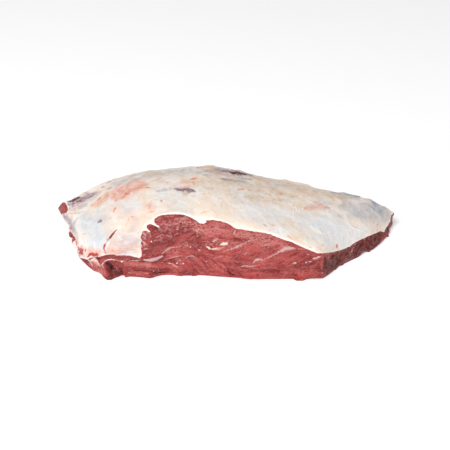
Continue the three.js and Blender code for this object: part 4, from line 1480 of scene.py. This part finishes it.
class Shader:
    """A material under construction."""

    def __init__(self, name: str) -> None:
        """Start an empty material with its surface node."""
        self.material = bpy.data.materials.new(name)
        self.material.use_nodes = True
        self.nodes = self.material.node_tree.nodes
        self.links = self.material.node_tree.links
        self.nodes.clear()
        self.surface = self.add("ShaderNodeBsdfPrincipled", {}, {})
        self.add("ShaderNodeOutputMaterial", {}, {"Surface": self.surface.outputs[0]})

    def add(
        self, kind: str, settings: dict[str, object], inputs: dict[str | int, object]
    ) -> bpy.types.Node:
        """Add a node.

        Args:
            kind: Blender's type name.
            settings: Properties of the node.
            inputs: Values or links, by socket name or number.

        Returns:
            The node.
        """
        node = self.nodes.new(kind)
        for key, value in settings.items():
            setattr(node, key, value)
        for key, value in inputs.items():
            self.feed(node.inputs[key], value)
        return node

    def feed(self, socket: bpy.types.NodeSocket, value: object) -> None:
        """Link a value to a socket, or set the socket to it.

        Args:
            socket: An input.
            value: A Value, an output socket, a number, a vector or a colour.
        """
        if isinstance(value, Value):
            self.links.new(value.socket, socket)
        elif isinstance(value, bpy.types.NodeSocket):
            self.links.new(value, socket)
        elif isinstance(value, tuple) and socket.type == "RGBA":
            socket.default_value = (*value, 1.0)
        else:
            socket.default_value = value

    def maths(self, operation: str, first: Value | float, second: Value | float) -> Value:
        """Work on two numbers."""
        node = self.add("ShaderNodeMath", {"operation": operation}, {0: first, 1: second})
        return Value(self, node.outputs[0])

    def mask(self, value: Value, low: float, high: float) -> Value:
        """Step smoothly from 0 to 1.

        Args:
            value: What is compared.
            low: Where the step starts.
            high: Where it ends.

        Returns:
            The step.
        """
        inputs = {"Value": value, "From Min": low, "From Max": high}
        node = self.add("ShaderNodeMapRange", {"interpolation_type": "SMOOTHSTEP"}, inputs)
        return Value(self, node.outputs[0])

    def stored(self, name: str) -> Value:
        """Read a stored number of the mesh."""
        node = self.add("ShaderNodeAttribute", {"attribute_name": name}, {})
        return Value(self, node.outputs["Fac"])

    def painted(self, tint: Tint) -> Value:
        """Read how strongly a tint's marks show."""
        return self.stored(tint.value)

    def mix(self, share: Value | float, first: object, second: object) -> bpy.types.NodeSocket:
        """Blend two colours."""
        node = self.add("ShaderNodeMix", {"data_type": "RGBA"}, {0: share, 6: first, 7: second})
        return node.outputs[2]

    def broken(self, tint: Tint, grain: Value) -> Value:
        """Read a tint's share, with its edges broken up along a noise.

        Args:
            tint: The tint.
            grain: Noise from 0 to 1.

        Returns:
            The share, from 0 to 1.
        """
        share = self.painted(tint)
        return self.mask(share.frayed(grain, 1.1), 0.15, 0.95) * self.mask(share, 0.0, 0.25)

    def space(self, grain: Triple, turn: float) -> bpy.types.NodeSocket:
        """Turn and scale the object's coordinates.

        Args:
            grain: What becomes one unit along each axis, in millimetres.
            turn: How steeply the first axis rises to the right on the front, in radians.

        Returns:
            The coordinates.
        """
        source = self.add("ShaderNodeTexCoord", {}, {}).outputs["Object"]
        inputs = {"Vector": source, "Rotation": (0.0, turn, 0.0)}
        turned = self.add("ShaderNodeMapping", {"vector_type": "POINT"}, inputs)
        inputs = {"Vector": turned.outputs[0], "Scale": tuple(METRE / size for size in grain)}
        return self.add("ShaderNodeMapping", {"vector_type": "POINT"}, inputs).outputs[0]

    def noise(
        self, grain: Triple, turn: float = 0.0, detail: float = 3.0, bend: float = 0.0
    ) -> Value:
        """Make noise from 0 to 1.

        Args:
            grain: Size of its grains along each axis, in millimetres.
            turn: How steeply the first axis rises to the right on the front, in radians.
            detail: Layers of finer noise.
            bend: How much it is warped.

        Returns:
            The noise.
        """
        inputs = {"Vector": self.space(grain, turn), "Scale": 1.0, "Detail": detail}
        inputs |= {"Roughness": 0.58, "Distortion": bend}
        return Value(self, self.add("ShaderNodeTexNoise", {}, inputs).outputs[0])

    def walls(self, grain: Triple, turn: float, warp: float) -> Value:
        """Make the walls of a net of cells.

        Args:
            grain: Size of the cells along each axis, in millimetres.
            turn: How steeply the first axis rises to the right on the front, in radians.
            warp: How far the walls wander, in cells.

        Returns:
            The distance from the nearest wall, in cells.
        """
        space = self.space(grain, turn)
        bend = self.add("ShaderNodeTexNoise", {}, {"Vector": space, "Scale": 1.4, "Detail": 3.0})
        inputs = {0: bend.outputs["Color"], 1: (warp, warp, warp), 2: space}
        moved = self.add("ShaderNodeVectorMath", {"operation": "MULTIPLY_ADD"}, inputs)
        inputs = {"Vector": moved.outputs[0], "Scale": 1.0}
        node = self.add("ShaderNodeTexVoronoi", {"feature": "DISTANCE_TO_EDGE"}, inputs)
        return Value(self, node.outputs["Distance"])

    def bump(self, height: Value, depth: float, strength: float) -> None:
        """Bend the surface's normals.

        Args:
            height: From 0 to 1.
            depth: Millimetres from 0 to 1.
            strength: How much of it shows.
        """
        inputs = {"Strength": strength, "Distance": depth / METRE, "Height": height}
        node = self.add("ShaderNodeBump", {}, inputs)
        self.feed(self.surface.inputs["Normal"], node.outputs[0])

    def flesh(self, weight: float, radius: Triple, depth: float) -> None:
        """Let light through the surface's skin.

        Args:
            weight: Share of the light.
            radius: How far each colour goes, as shares of the depth.
            depth: In millimetres.
        """
        self.surface.inputs["Subsurface Weight"].default_value = weight
        self.surface.inputs["Subsurface Radius"].default_value = radius
        self.surface.inputs["Subsurface Scale"].default_value = depth / METRE

    def moisten(self, film: Value, rough: float, gloss: float) -> None:
        """Lay a film of moisture over the surface.

        Args:
            film: Where the film lies, from 0 to 1.
            rough: Roughness of the film.
            gloss: How much the surface below reflects.
        """
        self.feed(self.surface.inputs["Coat Weight"], film)
        self.surface.inputs["Coat Roughness"].default_value = rough
        self.surface.inputs["Specular IOR Level"].default_value = gloss


@dataclass(frozen=True)
class LeanFinish:
    """Raw lean beef: dense red fibres with fine pale marbling, moist."""

    deep: Colour = from_srgb(148, 52, 51)
    flesh: Colour = from_srgb(178, 74, 71)
    groove: Colour = from_srgb(100, 24, 27)
    pale: Colour = from_srgb(202, 126, 120)
    thread: Colour = from_srgb(210, 156, 148)
    # the right end's colour is painted shade in a browner dark red; the dusk colour is partly
    # painted shade in creases, the pocket and on the lobe
    shaded_brown_end: Colour = from_srgb(72, 24, 22)
    dusk: Colour = from_srgb(106, 32, 35)
    # the deep red also serves as painted shade in slits and hollows, the pale lilac and the white
    # also as painted glints
    details: tuple[tuple[Tint, Colour], ...] = (
        (Tint.RUBY, from_srgb(166, 46, 43)),
        (Tint.BLOOD_AND_SHADE, from_srgb(62, 10, 13)),
        (Tint.SALMON, from_srgb(214, 146, 130)),
        (Tint.FASCIA_AND_HIGHLIGHT, from_srgb(202, 166, 166)),
        (Tint.SUET_AND_HIGHLIGHT, from_srgb(230, 210, 204)),
    )
    groove_share: float = 0.62  # the most that each of these covers of what is below it
    dusk_share: float = 0.85
    shaded_brown_end_share: float = 0.62
    film: float = 0.45  # the most moisture
    rising: float = 0.48  # how steeply the fibres run, in radians
    level: float = -0.05
    falling: float = -0.8

    def build(self) -> bpy.types.Material:
        """Make the material.

        Returns:
            The material.
        """
        s = Shader("raw_lean")
        broad = s.noise((26, 18, 15), turn=0.3)
        grain = s.noise((2.6, 1.8, 1.5), turn=0.4)
        fine = s.noise((1.2, 1.0, 0.9), detail=2.0)
        fibres = self.fibres(s)
        # Two reds in broad patches, and darker grooves between the fibres.
        colour = s.mix(s.mask(broad, 0.34, 0.66), self.deep, self.flesh)
        grooves = 1.0 - s.mask(fibres, 0.38, 0.54)
        colour = s.mix(grooves * self.groove_share, colour, self.groove)
        # darker red, partly painted shade in creases, the pocket and on the lobe; then the right
        # end's painted shade in a browner red
        colour = s.mix(s.painted(Tint.DUSK) * self.dusk_share, colour, self.dusk)
        colour = s.mix(s.painted(Tint.SHADED_BROWN_END) * (self.shaded_brown_end_share + broad * 0.5), colour, self.shaded_brown_end)
        # Fine fat on top: flecks, a net of threads, and what the marks add, painted glints and
        # painted shade in slits and hollows among them.
        much = s.painted(Tint.PALE)
        flecks = s.mask(grain + fibres * 0.5 + much * 0.12, 0.66, 0.96)
        colour = s.mix(flecks * (0.25 + much * 0.6), colour, self.pale)
        colour = s.mix(self.net(s, grain), colour, self.thread)
        for tint, shade in self.details:
            colour = s.mix(s.broken(tint, grain), colour, shade)
        s.feed(s.surface.inputs["Base Color"], colour)
        s.feed(s.surface.inputs["Roughness"], 0.42 + grain * 0.3)
        s.bump(fibres + grain * 0.6 + fine * 0.4, depth=1.4, strength=0.75)
        s.flesh(weight=0.06, radius=(1.0, 0.25, 0.18), depth=2.0)
        # The film lies in patches, and thins out over what is dark.
        dark = s.maths("MAXIMUM", s.painted(Tint.BLOOD_AND_SHADE), s.painted(Tint.DUSK) * 0.7)
        wet = s.mask(s.noise((8, 8, 7)).frayed(grain, 0.4), 0.44, 0.62)
        s.moisten(wet * (1.0 - dark) * self.film, rough=0.14, gloss=0.2)
        return s.material

    def fibres(self, s: Shader) -> Value:
        """Lay streaks along the muscle's fibres: level, rising or falling to the right.

        Args:
            s: The shader.

        Returns:
            The streaks, from 0 to 1.
        """
        streaks = s.noise((24, 6, 3.2), turn=self.level, detail=4.0, bend=0.5)
        for tint, turn in ((Tint.RISE, self.rising), (Tint.FALL, self.falling)):
            share = s.mask(s.painted(tint), 0.2, 0.8)
            others = s.noise((20, 6, 3.2), turn=turn, detail=4.0, bend=0.5)
            streaks = streaks + (others - streaks) * share
        return streaks

    def net(self, s: Shader, grain: Value) -> Value:
        """Draw thin pale threads round the bundles of fibres, broken here and there.

        Args:
            s: The shader.
            grain: Fine noise from 0 to 1.

        Returns:
            The threads' share, from 0 to 1.
        """
        wide = 1.0 - s.mask(s.walls((10, 9, 6.5), turn=self.rising, warp=0.6), 0.0, 0.1)
        tight = 1.0 - s.mask(s.walls((4.4, 4, 3), turn=self.rising, warp=0.6), 0.0, 0.16)
        laced = s.painted(Tint.LACE)
        breaks = s.mask(s.noise((9, 9, 7)).frayed(grain, 0.5), 0.42, 0.62)
        return wide * breaks * (0.12 + laced * 0.5) + tight * breaks * (0.08 + laced * 0.3)


@dataclass(frozen=True)
class FatFinish:
    """Raw fat under silverskin: cream, with bluish white and grey blue stretches."""

    cream: Colour = from_srgb(246, 227, 210)
    milk: Colour = from_srgb(244, 239, 235)
    peach: Colour = from_srgb(243, 210, 186)
    # the cut rim's white, partly the fat's own and partly a painted highlight
    rim: Colour = from_srgb(248, 240, 236)
    # pearl also serves as painted sheen, slate also as painted shade
    grounds: tuple[tuple[Tint, Colour], ...] = (
        (Tint.PEARL, from_srgb(230, 235, 240)),
        (Tint.HONEY, from_srgb(222, 191, 158)),
        (Tint.SLATE, from_srgb(162, 171, 182)),
    )
    glows: tuple[tuple[Tint, Colour], ...] = (
        (Tint.BLUSH, from_srgb(230, 120, 76)),
        (Tint.PLUM, from_srgb(128, 94, 122)),
    )
    # the deep red also serves as painted shade in the slit, the white also as painted glints and
    # painted light
    details: tuple[tuple[Tint, Colour], ...] = (
        (Tint.RUBY, from_srgb(180, 58, 52)),
        (Tint.BLOOD_AND_SHADE, from_srgb(92, 26, 28)),
        (Tint.SUET_AND_HIGHLIGHT, from_srgb(248, 242, 238)),
    )
    peach_share: float = 0.6  # the most that each of these covers of what is below it
    vein_share: float = 0.25
    film: float = 0.35  # the most moisture

    def build(self) -> bpy.types.Material:
        """Make the material.

        Returns:
            The material.
        """
        s = Shader("raw_fat")
        broad = s.noise((34, 44, 26))
        soft = s.noise((11, 15, 9), bend=0.6)
        mottle = s.noise((4.5, 6, 4), bend=0.8)
        streaks = s.noise((9, 6.5, 3.6), turn=0.1, detail=4.0, bend=1.0)
        # Cream and milk in broad patches, peach in smaller ones, and the marks' grounds, painted
        # shade and painted sheen among them.
        colour = s.mix(s.mask(broad, 0.36, 0.66), self.cream, self.milk)
        patches = s.mask(soft.frayed(mottle, 0.4), 0.5, 0.72)
        colour = s.mix(patches * self.peach_share, colour, self.peach)
        for tint, shade in self.grounds:
            share = s.painted(tint) * (0.55 + s.mask(soft, 0.34, 0.62) * 0.45)
            colour = s.mix(share, colour, shade)
        # Faint veins, then lean that shines through, then spots and lines, painted glints and
        # painted shade among them.
        veins = 1.0 - s.mask(s.walls((15, 8, 8), turn=0.15, warp=0.8), 0.0, 0.05)
        veins = veins * s.mask(broad.frayed(streaks, 1.0), 0.5, 0.7)
        colour = s.mix(veins * self.vein_share, colour, dict(self.glows)[Tint.BLUSH])
        for tint, shade in self.glows:
            share = s.painted(tint) * (0.5 + s.mask(streaks, 0.38, 0.62) * 0.5)
            colour = s.mix(share, colour, shade)
        for tint, shade in self.details:
            colour = s.mix(s.broken(tint, mottle), colour, shade)
        # The cut's white rim, partly the fat's own white and partly a painted highlight along its
        # rounded edge; weaker where the fat is stained.
        rim = 1.0 - s.mask(s.stored("edge").frayed(mottle, 2.0), 0.8, 3.0)
        stained = s.maths("MAXIMUM", s.painted(Tint.PLUM), s.painted(Tint.BLUSH))
        shown = s.mask(soft.frayed(mottle, 0.5), 0.38, 0.6) * 0.45 + 0.3 - stained * 0.5
        colour = s.mix(rim * s.maths("MAXIMUM", shown, 0.0), colour, self.rim)
        s.feed(s.surface.inputs["Base Color"], colour)
        s.feed(s.surface.inputs["Roughness"], 0.4 + mottle * 0.28)
        s.bump(soft + mottle * 0.4 + streaks * 0.2, depth=1.8, strength=0.6)
        s.flesh(weight=0.15, radius=(1.0, 0.6, 0.45), depth=4.0)
        film = s.mask(soft.frayed(mottle, 0.6), 0.4, 0.64) * self.film
        s.moisten(film, rough=0.22, gloss=0.35)
        return s.material


@dataclass(frozen=True)
class FloorFinish:
    """A plain pale floor, with a little light of its own that keeps it pale."""

    pale: Colour = from_srgb(250, 250, 250)
    glow: float = 0.25
    rough: float = 0.8

    def build(self) -> bpy.types.Material:
        """Make the material.

        Returns:
            The material.
        """
        s = Shader("pale_floor")
        s.feed(s.surface.inputs["Base Color"], self.pale)
        s.feed(s.surface.inputs["Emission Color"], self.pale)
        s.feed(s.surface.inputs["Emission Strength"], self.glow)
        s.feed(s.surface.inputs["Roughness"], self.rough)
        return s.material


# ---- the studio -----------------------------------------------------------------------------


@dataclass(frozen=True)
class SoftBox:
    """A square area light that looks at the slab."""

    name: str
    place: Triple  # in metres, like its size
    size: float
    power: float  # in watts

    def build(self) -> None:
        """Add the light to the scene."""
        data = bpy.data.lights.new(self.name, "AREA")
        data.shape, data.size, data.energy = "SQUARE", self.size, self.power
        lamp = bpy.data.objects.new(self.name, data)
        lamp.location = self.place
        lamp.rotation_euler = (-Vector(self.place)).to_track_quat("-Z", "Y").to_euler()
        bpy.context.scene.collection.objects.link(lamp)


@dataclass
class Studio:
    """A plain floor, soft light and the photograph's camera."""

    camera: PhotoCamera
    floor_size: float = 20.0  # in metres
    sky: float = 0.38
    key_light: SoftBox = SoftBox("key_light", (-1.17, -2.47, 2.73), 1.5, 118.0)

    def build(self) -> None:
        """Make the floor, light, sky and camera."""
        bpy.ops.mesh.primitive_plane_add(size=self.floor_size)
        floor = bpy.context.object
        floor.name = "floor"
        floor.data.materials.append(FloorFinish().build())
        self.key_light.build()
        world = bpy.data.worlds.new("studio")
        world.use_nodes = True
        background = world.node_tree.nodes["Background"]
        background.inputs["Strength"].default_value = self.sky
        background.inputs["Color"].default_value = (1.0, 1.0, 1.0, 1.0)
        scene = bpy.context.scene
        scene.world = world
        scene.view_settings.view_transform = "Standard"
        self.camera.build()


# ---- putting it together --------------------------------------------------------------------


def dress(piece: bpy.types.Object, finish: LeanFinish | FatFinish, node: str) -> None:
    """Give a piece its finish and its place in the frame.

    Args:
        piece: The object.
        finish: What it is made of.
        node: The frame's node that it stands for.
    """
    piece.data.materials.append(finish.build())
    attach(piece, "root")
    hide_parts(node)
    log.info("%s: %d triangles", piece.name, len(piece.data.polygons))


def main() -> None:
    """Build the studio and the slab, piece by piece."""
    logging.basicConfig(level=logging.INFO, format="%(name)s: %(message)s")
    camera = PhotoCamera()
    Studio(camera).build()
    slab = Slab(camera)
    slab.build()
    log.info("slab body: %d triangles", len(slab.body.triangles))
    dress(LeanMuscle(slab).build(), LeanFinish(), "lean")
    dress(FatCover(slab).build(), FatFinish(), "fat_cover")


if __name__ == "__main__":
    main()
